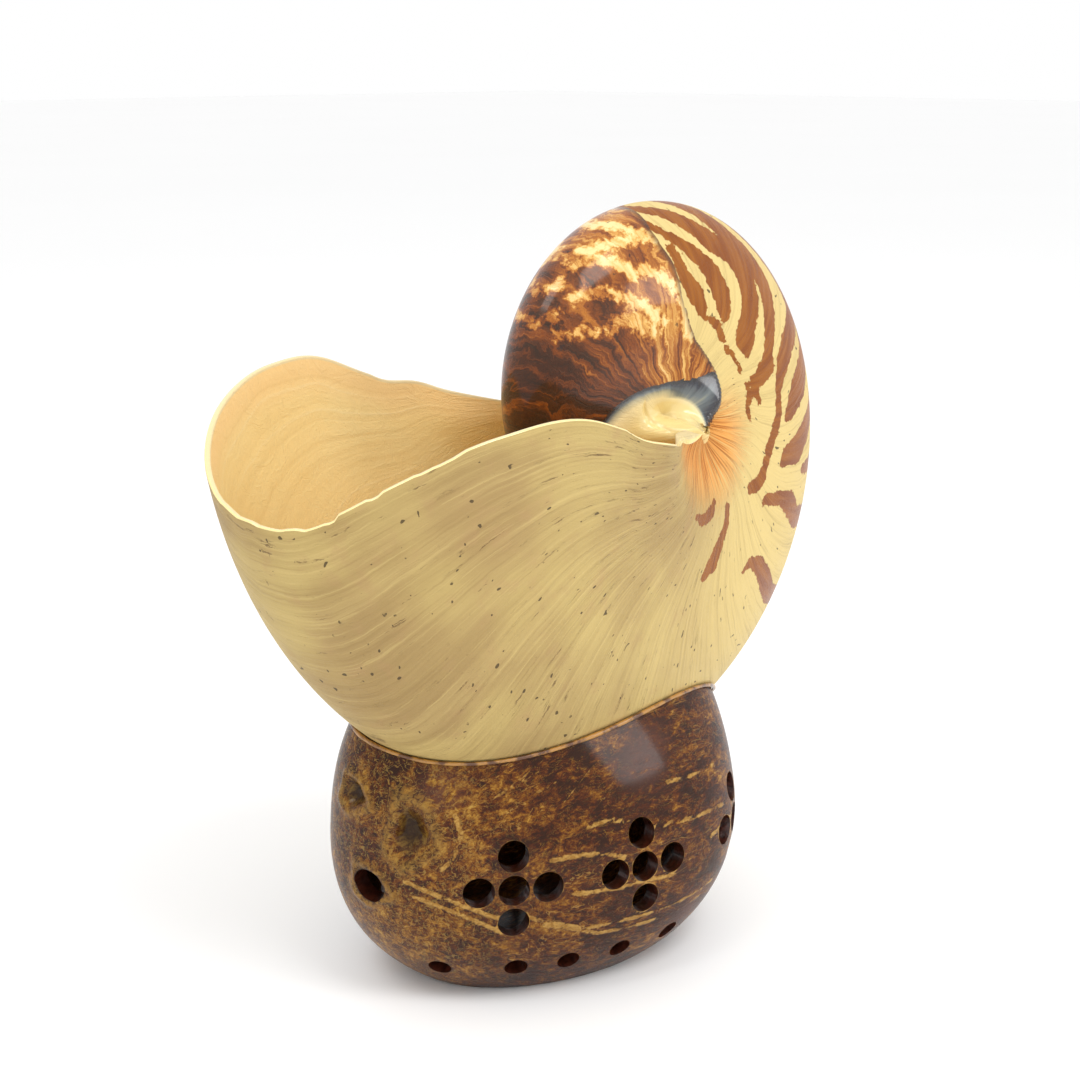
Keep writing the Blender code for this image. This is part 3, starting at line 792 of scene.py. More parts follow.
def shell_mesh(look):
    """The nautilus with its crease and ridge, and on its points how far each mark is from them."""
    across, (turn, out, side, inside) = shell_grid(look)
    grid = to_world(turn, out, side)
    points = grid.reshape(-1, 3)
    flat_turn, flat_across = turn.reshape(-1), across.reshape(-1)
    skin = inside.reshape(-1) == 0
    near = flat_across[skin] >= 0
    on_skin, skin_turn, skin_across = points[skin], flat_turn[skin], flat_across[skin]
    sunk, crease = crease_drop(on_skin, skin_turn, skin_across, look)
    callus = callus_distance(on_skin, skin_turn, skin_across)
    lines = (("stripe", FLAMES), ("swirl", SWIRLS), ("ridge", (RIDGE,)))
    drawn = {name: both_sides(on_skin, near, marks) for name, marks in lines}
    attributes = {}
    for name, values in {"crease": crease, "callus": callus, **drawn}.items():
        attributes[name] = np.full(len(points), FAR_AWAY)
        attributes[name][skin] = values
    sink = np.zeros(len(points))
    sink[skin] = sunk
    sink -= RIDGE_HEIGHT * np.exp(-(attributes["ridge"] / RIDGE_SOFTNESS) ** 2)
    points -= grid_normals(grid).reshape(-1, 3) * sink[:, None]
    growth = turn - (lip_turn(across) - LIP_AT_KEEL)
    attributes["growth"] = coil_radius(growth) * 2 * math.pi / math.log(GROWTH_PER_TURN) / MM
    attributes["girth"] = across * coil_radius(turn) * GIRTH_SPREAD / MM
    attributes["turn"] = turn
    attributes["axis"] = np.hypot(points[:, 0] - COIL_X, points[:, 2] - COIL_Z) / MM
    attributes["inside"] = inside
    attributes["lip"] = (lip_turn(across) - turn) * np.radians(1) * out / MM
    first, last = CHAMBER_ROWS, CHAMBER_ROWS + COIL_ROWS + ROLL_ROWS
    levels = [(column, grid[first:last + 1, column, 1].mean()) for column in (0, -1)]
    poles = [(column, first, last, (COIL_X, level, COIL_Z)) for column, level in levels]
    attributes = {key: value.reshape(-1) for key, value in attributes.items()}
    return closed_grid("nautilus", grid, attributes, poles)


def grid_normals(grid):
    """Outward unit normals of a looping grid, from differences of neighbours both ways."""
    along = np.roll(grid, -1, 0) - np.roll(grid, 1, 0)
    return unit(np.cross(np.gradient(grid, axis=1), along))


def shell_paint(look):
    """Cream skin with flames, the dark film, the glazed callus and the chamber's wall, by masks."""
    paint = Paint("nautilus_skin", {"Coat Roughness": 0.12, "Specular IOR Level": 0.3,
                                    "Specular Tint": (1, 0.8, 0.55, 1)})
    place = paint.place()
    growth, girth, turn, axis = paint.attributes("growth", "girth", "turn", "axis")
    inside, lip, crease, callus = paint.attributes("inside", "lip", "crease", "callus")
    broad = paint.noise(place, 0.03, 3)
    blotch = paint.noise(place, 0.13, 4, 0.6)
    fine = paint.noise(place, 1.4, 3)
    wobble = paint.noise(place, 0.5, 4, 0.65) - 0.5

    skin, relief = plain_skin(paint, look, broad, blotch, wobble)
    rays = paint.noise(paint.along(turn * 0.5, axis * 0.04), 1.1, 5, 0.6, 0.4)
    spread = (1 - (axis + (rays - 0.5) * 26).step(8, 24)) * turn.step(140, 190)
    skin = paint.layers(skin, (spread * rays.step(0.32, 0.48), look.pink),
                        (spread * rays.step(0.49, 0.58), RAY_BROWN))
    flame = 1 - (paint.attribute("stripe") + wobble * 2.6).step(-0.1, 0.12)
    tint = paint.noise(paint.along(growth * 0.5, girth * 0.1), 0.6, 4)
    skin = paint.mix(flame, skin, paint.mix(tint.step(0.35, 0.65), look.flame, look.flame_light))

    film, hair = dark_film(paint, look, wobble)
    on_film = (crease + wobble * 0.6).step(-0.05, 0.15) * turn.step(-45, -15)
    colour = paint.mix(on_film, skin, film)
    on_callus = (callus + wobble * 0.8).step(-0.1, 0.25) * crease.step(-0.1, 0.1)
    on_callus = on_callus + (1 - on_callus) * (1 - axis.step(1.7, 2.8))
    colour = paint.mix(on_callus, colour, callus_glaze(paint, look))
    wall, bands = chamber_colour(paint, look, broad)
    within = inside.step(0.5, 0.9)
    colour = paint.mix(within, colour, wall)
    rim = inside.step(0.15, 0.5) * (1 - inside.step(0.75, 0.99)) + inside * (1 - lip.step(0, 0.6))
    colour = paint.mix(rim.step(0, 1) * 0.85, colour, look.rim)

    outside = 1 - inside.step(0.3, 0.7)
    gloss = on_film * outside
    glazed = on_callus * outside
    roughness = 0.52 + (fine - 0.5) * 0.25 - flame * 0.14 - gloss * 0.2 - glazed * 0.38 - within * 0.1
    coat = gloss * 0.45 + glazed * 0.6 + flame * 0.1
    wrinkles = hair * on_film * 0.6 + rays * spread * 1.6 - flame * 0.03
    bumps = ((relief * (1 - on_film * 0.8) * outside, 0.5), (wrinkles, 0.5),
             (bands * inside * 0.6, 0.3), (fine, 0.06))
    return paint.finish(colour, roughness, bumps, coat)


def plain_skin(paint, look, broad, blotch, wobble):
    """Cream to buff with lines along the lip, thin broken cracks, dashes and pits; and its relief."""
    growth, girth, turn = paint.attributes("growth", "girth", "turn")
    bent = growth + (blotch - 0.5) * 1.6
    lines = paint.noise(paint.along(bent, girth * 0.03), 0.75, 5, 0.68)
    wide_lines = paint.noise(paint.along(bent, girth * 0.08), 0.16, 4, 0.55)
    low = turn.step(250, 305) * girth.step(-15, 10)
    torn = paint.noise(paint.along(growth + wobble * 2, girth * 0.05), 0.22, 5, 0.6)
    ragged = paint.noise(paint.along(growth * 0.7, girth * 0.22), 0.35, 4, 0.6)
    crack = torn.veins(3500) * ragged.step(0.56, 0.61)
    dash = paint.noise(paint.along(growth * 2.2, girth * 0.3), 0.8, 2, 0.7).step(0.7, 0.75)
    pit = paint.noise(paint.along(growth, girth, broad * 40), 0.55, 0).step(0.79, 0.81)
    skin = paint.layers(
        look.cream, (broad.step(0.36, 0.66), look.buff), (turn.step(330, 230), look.cream_light),
        (wide_lines.step(0.45, 0.7) * 0.2, look.cream_light),
        (wide_lines.step(0.5, 0.28) * 0.2, WIDE_LINE), (lines.step(0.5, 0.66) * 0.32, FINE_LINE),
        (lines.step(0.47, 0.34) * 0.3, look.cream_light),
        (blotch.step(0.5, 0.8) * low * 0.45, LOW_STAIN),
        (crack * blotch.step(0.44, 0.58) * low * 0.75, CRACK_BROWN),
        (dash * blotch.step(0.48, 0.62) * 0.3, DASH_BROWN),
        (pit * blotch.step(0.45, 0.5) * 0.85, PIT_BLACK))
    return skin, lines * 0.6 + wide_lines * 0.6 - dash * 0.15 - pit * 0.3 - crack * 0.3


def dark_film(paint, look, wobble):
    """Marbled streaks that spread from the axis, rust at the top and near black below, the top partly
    lightened as a painted highlight, with painted shade beside the crease; their grain.
    """
    girth, turn = paint.attributes("girth", "turn")
    place = paint.place()
    marble = paint.noise(place, 0.08, 5, 0.6, 0.5)
    bent = turn + (marble - 0.5) * 24
    streaks = paint.noise(paint.along(bent * 0.34, girth * 0.06), 0.5, 6, 0.62, 0.25)
    hair = paint.noise(paint.along(bent * 0.9, girth * 0.07), 0.6, 5, 0.7, 0.3)
    # Lighter towards the top: partly the film's own rust and gold, partly a painted highlight
    rust_top_and_highlight = (turn + (marble - 0.5) * 70).step(20, 95)
    tone = (streaks - 0.5) * 0.85 + 0.5 + (hair - 0.5) * 0.4 + (rust_top_and_highlight - 0.45) * 0.2
    swirl = 1 - (paint.attribute("swirl") + wobble * 7 + (hair - 0.5) * 4).step(-0.6, 1.2)
    tone = tone + swirl * 0.22
    film = paint.ramp(tone, ((0.3, look.film_dark), (0.42, FILM_BROWN), (0.52, look.film_rust),
                             (0.61, FILM_ORANGE), (0.71, look.film_gold), (0.83, FILM_CREAM)))
    speck = paint.noise(place, 0.3, 5, 0.75).step(0.64, 0.68)
    shade = 1 - paint.attribute("crease").step(0.2, 2.6)
    return paint.layers(film, (speck * 0.8, SPECK_BLACK), (shade * 0.75, CREASE_SHADE)), hair


def callus_glaze(paint, look):
    """Black and blue at the callus's edge, wider on the side of the striped flank, cream within, with a
    painted highlight along the ridge.
    """
    callus, turn, axis = paint.attributes("callus", "turn", "axis")
    rays = paint.noise(paint.along(turn * 0.2, axis * 0.08), 0.8, 4, 0.6)
    depth = callus / (1 + turn.step(60, 125) * 2.4) + (rays - 0.5) * 1.2 + (1 - axis.step(2, 6)) * 14
    # Painted highlight: the colour turns pale cream along the raised ridge
    depth = depth + (1 - paint.attribute("ridge").step(0, 1.2)) * 6
    return paint.ramp(depth * 0.1, ((0.02, GLAZE_BLACK), (0.06, GLAZE_DARK), (0.13, look.callus_blue),
                                    (0.22, GLAZE_GREY), (0.4, look.callus_cream), (0.9, GLAZE_WARM)))


def chamber_colour(paint, look, broad):
    """Honey, paler and greener towards the front and peach near the lip, with fine bands; lighter deep
    in, painted light where the coil shades the far wall.
    """
    growth, girth, lip = paint.attributes("growth", "girth", "lip")
    bands = paint.noise(paint.along(growth + (broad - 0.5) * 14, girth * 0.02), 0.22, 5, 0.6)
    wall = paint.layers(
        look.inside, (broad.step(0.35, 0.65), HONEY), (lip.step(80, 20) * 0.6, FRONT_HONEY),
        # Lighter deep in the chamber: painted light where the coil shades the far wall
        (lip.step(30, 90) * 0.5, DEEP_WALL_PAINTED_LIGHT), (lip.step(11, 2) * 0.5, PEACH),
        (bands.step(0.54, 0.7) * 0.25, BAND_LIGHT), (bands.step(0.48, 0.3) * 0.2, BAND_DARK))
    return wall, bands


class NAUTILUS_OT_shell(bpy.types.Operator):
    """Build the nautilus shell over its CAD solid"""
    bl_idname = "nautilus.shell"
    bl_label = "Nautilus Shell"

    def execute(self, context):
        look = context.scene.nautilus.shell
        add_piece("nautilus", shell_mesh(look), "nautilus_shell", [shell_paint(look)])
        return {"FINISHED"}


# The coconut stand

def signed_power(value, power):
    """The power of the value's size, with the value's sign."""
    return np.sign(value) * np.abs(value) ** power


def nut_point(round_angle, up_angle, grow=0.0):
    """A superellipsoid, narrower towards its eyed end and towards the top.

    Lengthwise = cos(up)^p cos(round)^r, widthwise = cos(up)^p sin(round)^r, height = sin(up)^p, each
    times its half size; the width is then scaled by the egg and by the bent taper.
    """
    upright = np.where(up_angle > 0, NUT_UPPER_POWER, NUT_LOWER_POWER)
    level = signed_power(np.cos(up_angle), upright)
    lengthwise = level * signed_power(np.cos(round_angle), NUT_ROUND_POWER)
    x = (NUT_HALF_LENGTH + grow) * lengthwise
    y = (NUT_HALF_WIDTH + grow) * level * signed_power(np.sin(round_angle), NUT_ROUND_POWER)
    height = signed_power(np.sin(up_angle), upright)
    z = (NUT_HALF_HEIGHT + grow) * height
    y = y * (1 + NUT_EGG * lengthwise)
    mean_taper = (NUT_UPPER_TAPER + NUT_LOWER_TAPER) / 2
    bend = (NUT_UPPER_TAPER - NUT_LOWER_TAPER) / 2
    y = y * (1 - mean_taper * height - bend * (np.hypot(height, NUT_TAPER_BEND) - NUT_TAPER_BEND))
    turned_x = x * math.cos(NUT_YAW) - y * math.sin(NUT_YAW)
    turned_y = x * math.sin(NUT_YAW) + y * math.cos(NUT_YAW)
    return np.stack([-turned_x, -turned_y, z], -1) + NUT_CENTRE


def arch_value(point):
    """0 on the keel side's surface, above 0 outside: the two powers of the arch added up."""
    dx, dz = COIL_X - point[..., 0], point[..., 2] - COIL_Z
    size = coil_radius(np.degrees(np.arctan2(dz, dx)) % 360)
    out = np.maximum((np.hypot(dx, dz) / size - SHOULDER) / (1 - SHOULDER), 0)
    side = np.abs(point[..., 1]) / size / HALF_WIDTH
    return np.sqrt(out ** OUTER_POWER + side ** WIDTH_POWER) - 1


def distance_to_arch(point):
    """About how far a point is from the keel side: its value over the value's slope."""
    value = arch_value(point)
    slope = [(arch_value(point + axis * SMALL_STEP) - value) / SMALL_STEP for axis in np.eye(3)]
    return value / np.sqrt(sum(s * s for s in slope))


def seat_up(round_angle, grow, clearance):
    """The up angle at which the nut's surface is that far from the nautilus, by halving."""
    low, high = SEAT_UP[0] + 0 * round_angle, SEAT_UP[1] + 0 * round_angle
    for _ in range(HALVINGS):
        up = (low + high) / 2
        outside = distance_to_arch(nut_point(round_angle, up, grow)) > clearance
        low, high = np.where(outside, up, low), np.where(outside, high, up)
    return (low + high) / 2


def level_up(height, grow):
    """The up angle at which the nut's surface is at a height."""
    rise = (height - NUT_CENTRE[2]) / (NUT_HALF_HEIGHT + grow)
    return np.arcsin(signed_power(rise, 1 / NUT_LOWER_POWER))


def disc(ring, part):
    """A level ring drawn in towards the stand's middle."""
    drawn = NUT_CENTRE + (ring - NUT_CENTRE) * part
    drawn[:, 2] = ring[:, 2]
    return drawn


def stand_grid():
    """Rows of the stand: its flat, its outside up to the seat, the rim, and its hollow inside."""
    round_angle = np.linspace(0, 2 * math.pi, NUT_COLUMNS + 1)
    foot, seat = level_up(0, 0), seat_up(round_angle, 0, GAP)
    outside = np.array([nut_point(round_angle, foot + (seat - foot) * part)
                        for part in np.linspace(0, 1, OUTSIDE_ROWS + 1)])
    outside += ring_normals(outside) * eye_relief(outside)[..., None]
    outside[0, :, 2] = 0
    rows = [disc(outside[0], part) for part in np.linspace(DISC_START, 1, DISC_ROWS + 1)[:-1]]
    rows += list(outside)
    for part in np.linspace(0, 1, RIM_ROWS + 2)[1:-1]:
        grow = -NUT_WALL * part
        rows.append(nut_point(round_angle, seat_up(round_angle, grow, GAP), grow))
    floor, seat = level_up(NUT_FLOOR, -NUT_WALL), seat_up(round_angle, -NUT_WALL, GAP)
    for part in np.linspace(1, 0, INSIDE_ROWS + 1):
        rows.append(nut_point(round_angle, floor + (seat - floor) * part, -NUT_WALL))
    ring = rows[-1]
    rows += [disc(ring, part) for part in np.linspace(1, DISC_START, DISC_ROWS + 1)[1:]]
    return np.array(rows)


def ring_normals(grid):
    """Outward unit normals of rows that close on themselves, whose last column is the first."""
    ring = grid[:, :-1]
    along = np.gradient(ring, axis=0)
    across = np.roll(ring, -1, 1) - np.roll(ring, 1, 1)
    normal = unit(np.cross(across, along))
    if ((ring - NUT_CENTRE) * normal).sum() < 0:
        normal = -normal
    return np.concatenate([normal, normal[:, :1]], 1)


def eye_reach(points, eye):
    """How far out of an eye's middle each point lies, 1 at its uneven edge."""
    place, height, radius, tallness, _ = eye
    spot, normal, upward = nut_wall_point(place, height)
    offset = points - spot
    right = offset @ np.cross(normal, upward) / radius
    above = offset @ upward / radius / tallness
    angle = np.arctan2(above, right)
    uneven = 1 + sum(size * np.sin(count * angle + start) for size, count, start in EYE_WAVES)
    elsewhere = np.abs(offset @ normal) > EYE_DEPTH * radius
    return np.hypot(right, above) * uneven + OUT_OF_EYE * elsewhere


def eye_relief(points):
    """The shallow eyes are bowls, flat in the middle; round every eye a low rim stands out."""
    relief = np.zeros(points.shape[:-1])
    for eye in EYES:
        reach = eye_reach(points, eye)
        relief += EYE_RIM * np.exp(-((reach - EYE_RIM_AT) / EYE_RIM_SPREAD) ** 2)
        if eye[-1] < NUT_WALL:
            relief -= eye[-1] * EYE_BOWL_SHARE * (1 - ease(reach, *EYE_BOWL))
    return relief


def wall_nearness(points, lines):
    """Distance in mm from each point to the nearest line on the stand's outside."""
    knots = [[nut_wall_point(place, height * MM)[0] for place, height in line] for line in lines]
    return nearness(points, [(line, [0] * len(line)) for line in knots])


def patches(points, places):
    """1 in the middle of each round patch, falling away as a bell curve."""
    result = np.zeros(len(points))
    for place, height, radius in places:
        gap = np.linalg.norm(points - nut_wall_point(place, height * MM)[0], axis=1) / MM / radius
        result = np.maximum(result, np.exp(-gap ** 2))
    return result


def stand_attributes(points):
    """How near each point is to each mark on the stand."""
    return {
        "crack": wall_nearness(points, (CRACK,)),
        "fibre": wall_nearness(points, FIBRES),
        "scratch": wall_nearness(points, SCRATCHES),
        "tan": patches(points, TAN_PATCHES),
        "purple": patches(points, PAINTED_SHEEN_PATCHES),
        "front": ease(-points[:, 0], *FRONT_END),
        "eye": np.minimum.reduce([eye_reach(points, eye) for eye in EYES]),
    }


def stand_mesh():
    """The stand's rows as one skin, closed by a flat face at either end of them."""
    grid = stand_grid()
    rows, columns = grid.shape[:2]
    points = grid.reshape(-1, 3)
    ends = [tuple(range(start, start + columns - 1)) for start in (0, (rows - 1) * columns)]
    return clean_mesh("coconut", points, quads(rows, columns, rows - 1) + ends,
                      stand_attributes(points))


def nut_wall_point(place, height):
    """The point of the outside at a place round the stand and a height, its normal and its up."""
    direction = math.radians(place)

    def along(up, way):
        wanted = np.array([math.cos(way), math.sin(way)])
        round_angle = math.atan2(-wanted[1], -wanted[0])
        for _ in range(ROUND_STEPS):
            point = nut_point(round_angle, up)
            offset = point[:2] - NUT_CENTRE[:2]
            turn = math.atan2(offset[0] * wanted[1] - offset[1] * wanted[0], offset @ wanted)
            round_angle += turn * ROUND_PULL
        return nut_point(round_angle, up)

    def find(wanted_height, way):
        low, high = WALL_UP
        for _ in range(HALVINGS):
            up = (low + high) / 2
            low, high = (up, high) if along(up, way)[2] < wanted_height else (low, up)
        return along((low + high) / 2, way)

    point = find(height, direction)
    upward = find(height + SMALL_HEIGHT, direction) - find(height - SMALL_HEIGHT, direction)
    sideways = find(height, direction + SMALL_HEIGHT) - point
    normal = np.cross(sideways, upward)
    if normal @ (point - NUT_CENTRE) < 0:
        normal = -normal
    return point, unit(normal), unit(upward)


def drill(bm, point, normal, radius, depth, tallness=1):
    """A round cutter that goes in by its depth and stands out by as much."""
    turn = Vector(normal).to_track_quat("Z", "Y").to_matrix().to_4x4()
    taller = Matrix.Scale(tallness, 4, (0, 1, 0))
    bmesh.ops.create_cone(bm, cap_ends=True, segments=HOLE_SIDES, radius1=radius, radius2=radius,
                          depth=2 * depth, matrix=Matrix.Translation(Vector(point)) @ turn @ taller)


def drill_stand(item, look, material):
    """Cuts the crosses, the foot row and the eyes out of the stand's wall."""
    bm = bmesh.new()
    for place in CROSS_PLACES:
        point, normal, upward = nut_wall_point(place, CROSS_HEIGHT)
        sideways = np.cross(normal, upward)
        for right, up in CROSS_HOLES:
            spot = point + (sideways * right + upward * up) * CROSS_SPACING
            drill(bm, spot, normal, look.hole_radius, HOLE_DEPTH / 2)
    for place in FOOT_ROW_PLACES:
        point, normal, _ = nut_wall_point(place, FOOT_ROW_HEIGHT)
        drill(bm, point, normal, look.foot_hole_radius, HOLE_DEPTH / 2)
    for place, height, radius, tallness, depth in EYES:
        if depth > NUT_WALL:
            point, normal, _ = nut_wall_point(place, height)
            drill(bm, point, normal, radius, depth, tallness)
    mesh = bpy.data.meshes.new("drills")
    bm.to_mesh(mesh)
    bm.free()
    mesh.materials.append(material)
    cutter = bpy.data.objects.new("drills", mesh)
    bpy.context.scene.collection.objects.link(cutter)
    modifier = item.modifiers.new("holes", "BOOLEAN")
    modifier.solver = "EXACT"
    modifier.object = cutter
    modifier.material_mode = "TRANSFER"
    graph = bpy.context.evaluated_depsgraph_get()
    cut = bpy.data.meshes.new_from_object(item.evaluated_get(graph))
    item.modifiers.remove(modifier)
    bpy.data.objects.remove(cutter, do_unlink=True)
    old = item.data
    item.data = cut
    bpy.data.meshes.remove(old)
    cut.name = "coconut"
    cut.shade_smooth()
    cut.set_sharp_from_angle(angle=SMOOTH_ANGLE)


def stand_paint(look):
    """Varnished coconut: dark red brown, with tan flecks, curly veins and long raised fibres; painted
    shade in the middle of the eyes, and purple patches of painted sheen.
    """
    paint = Paint("varnished_coconut", {"Coat Roughness": 0.1, "Coat Weight": 0.3,
                                        "Specular IOR Level": 0.2,
                                        "Specular Tint": (1, 0.6, 0.3, 1)})
    place = paint.place()
    grain = paint.place((0.45, 1, 1))
    long_grain = paint.place((0.06, 1, 1))
    cloud = paint.noise(place, 0.05, 4, 0.6)
    mottle = paint.noise(grain, 0.28, 6, 0.72, 0.5)
    fleck = paint.noise(grain, 0.8, 5, 0.75, 0.6)
    curls = paint.noise(grain, 0.33, 4, 0.6, 2.4)
    curl = curls.veins(2500, 0.05, 0.7) * mottle.step(0.4, 0.55)
    run = paint.noise(long_grain, 0.3, 3, 0.5, 0.5)
    thread = run.veins(9000, 0.1, 0.9) * cloud.step(0.46, 0.54)
    wobble = paint.noise(place, 0.9, 3, 0.6) - 0.5
    front, patch, purple = paint.attributes("front", "tan", "purple")
    eye = paint.attribute("eye") + wobble * 0.25
    tone = (mottle - 0.5) * 0.8 + 0.45 + (fleck - 0.5) * 0.95 + (cloud - 0.5) * 0.5
    tone = tone + patch * 0.03 + front * 0.05 - purple * 0.03
    colour = paint.ramp(tone, ((0.36, NUT_BLACK), (0.46, look.dark), (0.53, look.brown),
                               (0.59, NUT_WARM), (0.66, look.tan), (0.78, NUT_GOLD)))
    rings = paint.noise(place, 0.55, 2, 0.5, 1.2)
    ring = rings.veins(1600) * front
    gaps = paint.noise(place, 0.22, 2).step(0.36, 0.5)
    fibre = 1 - (paint.attribute("fibre") + wobble * 0.9 - gaps * 0.3).step(0.05, 0.5)
    scratch = (1 - (paint.attribute("scratch") + wobble * 0.6).step(0.05, 0.3)) * gaps
    raised = (fibre + thread * 0.6) * (1 - purple * 0.5)
    floor = 1 - eye.step(0.55, 0.95)
    rim = (1 - eye.step(1.2, 1.7)) * eye.step(0.85, 1.1)
    crack = 1 - (paint.attribute("crack") + wobble * 0.5).step(0.12, 0.3)
    colour = paint.layers(
        # Painted sheen: purple reflection patches laid into the colour, dimming the tone, curls and
        # fibres there
        colour, (ring * 0.7, RING_TAN), (purple * (1 - mottle.step(0.5, 0.62)) * 0.6, NUT_PAINTED_SHEEN),
        (curl * (1 - purple) * 0.5, CURL_TAN),
        ((raised + scratch * 0.8).step(0.1, 1) * 0.85,
         paint.mix(fleck.step(0.4, 0.6), FIBRE_DARK, FIBRE_LIGHT)),
        (floor * 0.85, paint.mix(fleck.step(0.42, 0.6), EYE_BROWN, EYE_GREEN)),
        # Painted shade: the middle of each eye's hollow is darkened
        ((1 - eye.step(0.3, 0.62)) * 0.85, EYE_PAINTED_SHADE),
        (rim * fleck.step(0.38, 0.55) * 0.6, RIM_TAN), (crack, CRACK_BLACK))
    relief = raised * 0.9 + tone * 0.6 + curl * 0.2 - crack * 1.2 + scratch * 0.15
    roughness = 0.34 + fleck * 0.2
    return paint.finish(colour, roughness, ((relief, 0.5), (fleck, 0.2)))


def hole_paint():
    """The holes' varnished walls, dark red brown."""
    paint = Paint("drilled_wall", {"Coat Roughness": 0.08, "Coat Weight": 0.4})
    tint = paint.noise(paint.place(), 0.8, 4, 0.6)
    colour = paint.mix(tint.step(0.35, 0.7), HOLE_DARK, HOLE_RED)
    return paint.finish(colour, 0.25 + tint * 0.1, ((tint, 0.3),))


class NAUTILUS_OT_stand(bpy.types.Operator):
    """Build the drilled coconut stand over its CAD solid"""
    bl_idname = "nautilus.stand"
    bl_label = "Coconut Stand"

    def execute(self, context):
        look = context.scene.nautilus.stand
        item = add_piece("coconut", stand_mesh(), "coconut_stand", [stand_paint(look)])
        drill_stand(item, look, hole_paint())
        return {"FINISHED"}


# The glue

def glue_mesh(look):
    """A bead round the seat: a small circle of changing radius carried along the seat's line."""
    round_angle = np.linspace(0, 2 * math.pi, GLUE_STEPS + 1)[:-1]
    wave = sum(np.sin(round_angle * n + n * n) / n ** 0.5 for n in GLUE_WAVES) / 3
    radius = look.width * np.clip(GLUE_MEAN + GLUE_SWING * wave, GLUE_LEAST, 1)
    radius *= 1 - GLUE_TAIL_DROP * np.exp(-((round_angle - math.pi) / GLUE_TAIL_REACH) ** 2)
    away = radius + GLUE_GAP
    line = nut_point(round_angle, seat_up(round_angle, away, away), away)
    forward = unit(np.roll(line, -1, 0) - np.roll(line, 1, 0))
    outward = line - GLUE_CENTRE
    outward = unit(outward - (outward * forward).sum(1)[:, None] * forward)
    upward = np.cross(forward, outward)
    ring = np.linspace(0, 2 * math.pi, GLUE_SIDES + 1)
    tube = (line[:, None] + radius[:, None, None] * (np.cos(ring)[None, :, None] * outward[:, None]
            + np.sin(ring)[None, :, None] * upward[:, None]))
    return closed_grid("glue", tube, {})


def glue_paint(look):
    """Amber with brown clouds."""
    paint = Paint("amber_glue", {"Coat Roughness": 0.1, "Coat Weight": 0.5})
    cloud = paint.noise(paint.place(), 0.25, 4, 0.65)
    colour = paint.mix(cloud.step(0.42, 0.6), look.amber, GLUE_BROWN)
    return paint.finish(colour, 0.25 + cloud * 0.15, ((cloud, 0.5),))


class NAUTILUS_OT_glue(bpy.types.Operator):
    """Build the bead of glue along the seat"""
    bl_idname = "nautilus.glue"
    bl_label = "Glue Bead"

    def execute(self, context):
        look = context.scene.nautilus.glue
        add_piece("glue", glue_mesh(look), "glue_bead", [glue_paint(look)])
        return {"FINISHED"}


# The studio

def soft_light(name, power, size, spot):
    """A square lamp that faces the part's middle."""
    light = bpy.data.lights.new(name, "AREA")
    light.energy = power
    light.size = size
    item = bpy.data.objects.new(name, light)
    item.location = spot
    item.rotation_euler = (Vector(LIGHT_TARGET) - Vector(spot)).to_track_quat("-Z", "Y").to_euler()
    bpy.context.scene.collection.objects.link(item)


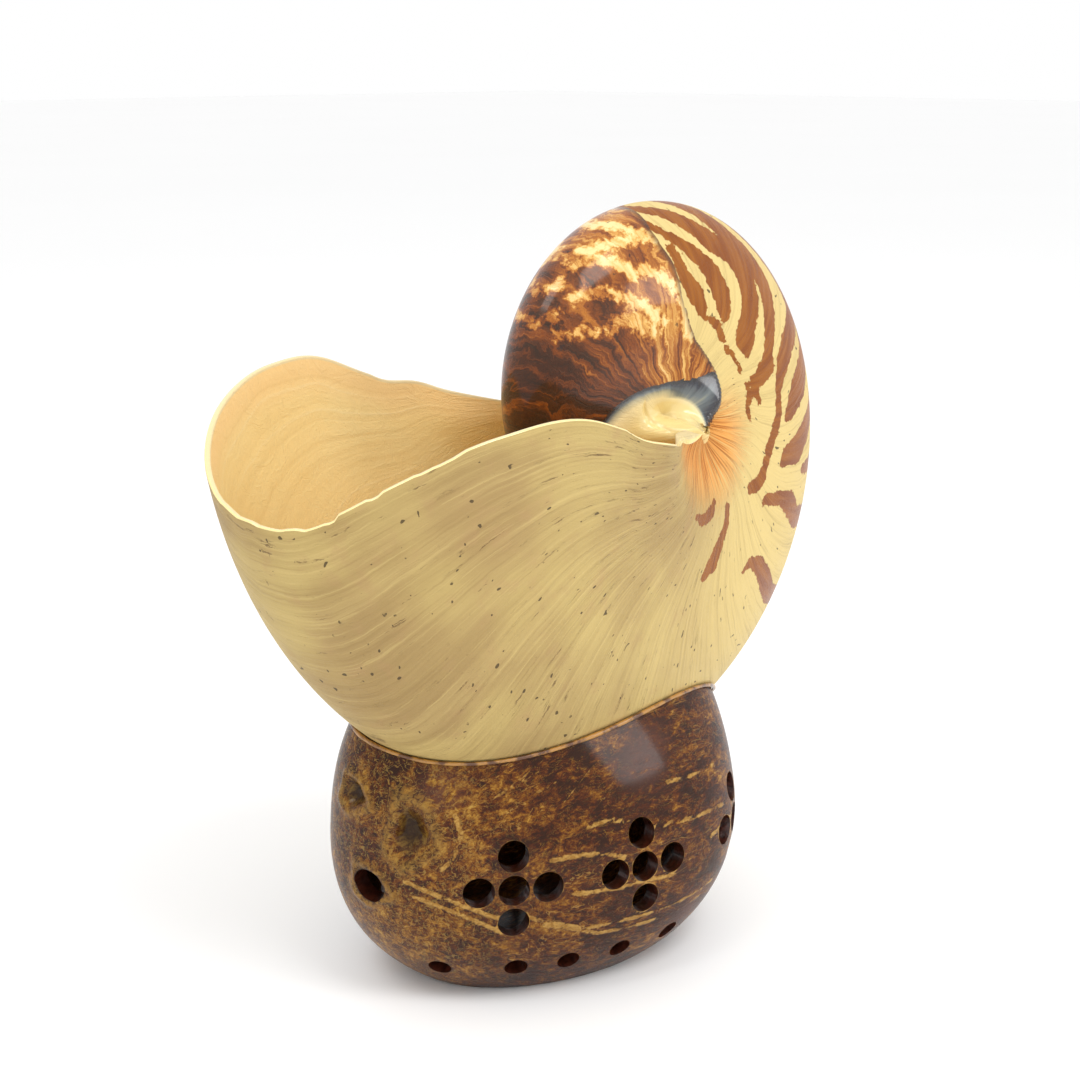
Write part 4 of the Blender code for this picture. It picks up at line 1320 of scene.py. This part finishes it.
class NAUTILUS_OT_stage(bpy.types.Operator):
    """Build the floor, the lights and the camera at the photo's viewpoint"""
    bl_idname = "nautilus.stage"
    bl_label = "Studio"

    def execute(self, context):
        look = context.scene.nautilus.stage
        mesh = bpy.data.meshes.new("floor")
        corners = ((-1, -1), (1, -1), (1, 1), (-1, 1))
        mesh.from_pydata([(x * FLOOR_HALF, y * FLOOR_HALF, FLOOR_LEVEL) for x, y in corners], [],
                         [(0, 1, 2, 3)])
        floor = bpy.data.objects.new("floor", mesh)
        context.scene.collection.objects.link(floor)
        paint = Paint("studio_floor")
        cloud = paint.noise(paint.place(), 0.002, 2)
        mesh.materials.append(paint.finish(paint.mix(cloud, look.floor, FLOOR_SHADE), 0.6,
                                           ((cloud, 0.01),)))
        world = bpy.data.worlds.new("studio")
        world.use_nodes = True
        world.node_tree.nodes["Background"].inputs["Color"].default_value = (1, 1, 1, 1)
        world.node_tree.nodes["Background"].inputs["Strength"].default_value = 1
        context.scene.world = world
        for name, size, spot in LIGHTS:
            soft_light(name, getattr(look, name), size, spot)
        context.scene.view_settings.view_transform = "Standard"
        camera = bpy.data.cameras.new("camera")
        camera.lens = CAMERA_LENS
        camera.sensor_width = CAMERA_SENSOR
        item = bpy.data.objects.new("camera", camera)
        forward = Vector(CAMERA_FORWARD).normalized()
        right = Vector(CAMERA_RIGHT).normalized()
        up = right.cross(forward)
        turned = Matrix((right, up, -forward)).transposed().to_4x4()
        spot = Vector((COIL_X, 0, COIL_Z)) + Vector(CAMERA_OFFSET)
        item.matrix_world = Matrix.Translation(spot) @ turned
        context.scene.collection.objects.link(item)
        context.scene.camera = item
        return {"FINISHED"}


class NAUTILUS_PT_panel(bpy.types.Panel):
    bl_label = "Nautilus"
    bl_space_type = "VIEW_3D"
    bl_region_type = "UI"
    bl_category = "Nautilus"

    def draw(self, context):
        look = context.scene.nautilus
        for operator, group in ((NAUTILUS_OT_shell, look.shell), (NAUTILUS_OT_stand, look.stand),
                                (NAUTILUS_OT_glue, look.glue), (NAUTILUS_OT_stage, look.stage)):
            box = self.layout.box()
            box.operator(operator.bl_idname)
            for key in group.bl_rna.properties.keys():
                if key not in ("rna_type", "name"):
                    box.prop(group, key)


CLASSES = (ShellLook, StandLook, GlueLook, StageLook, NautilusLook, NAUTILUS_OT_shell,
           NAUTILUS_OT_stand, NAUTILUS_OT_glue, NAUTILUS_OT_stage, NAUTILUS_PT_panel)


def register():
    for item in CLASSES:
        bpy.utils.register_class(item)
    bpy.types.Scene.nautilus = PointerProperty(type=NautilusLook)


def unregister():
    del bpy.types.Scene.nautilus
    for item in reversed(CLASSES):
        bpy.utils.unregister_class(item)


def main():
    register()
    bpy.ops.nautilus.shell()
    bpy.ops.nautilus.stand()
    bpy.ops.nautilus.glue()
    bpy.ops.nautilus.stage()


if __name__ == "__main__":
    main()
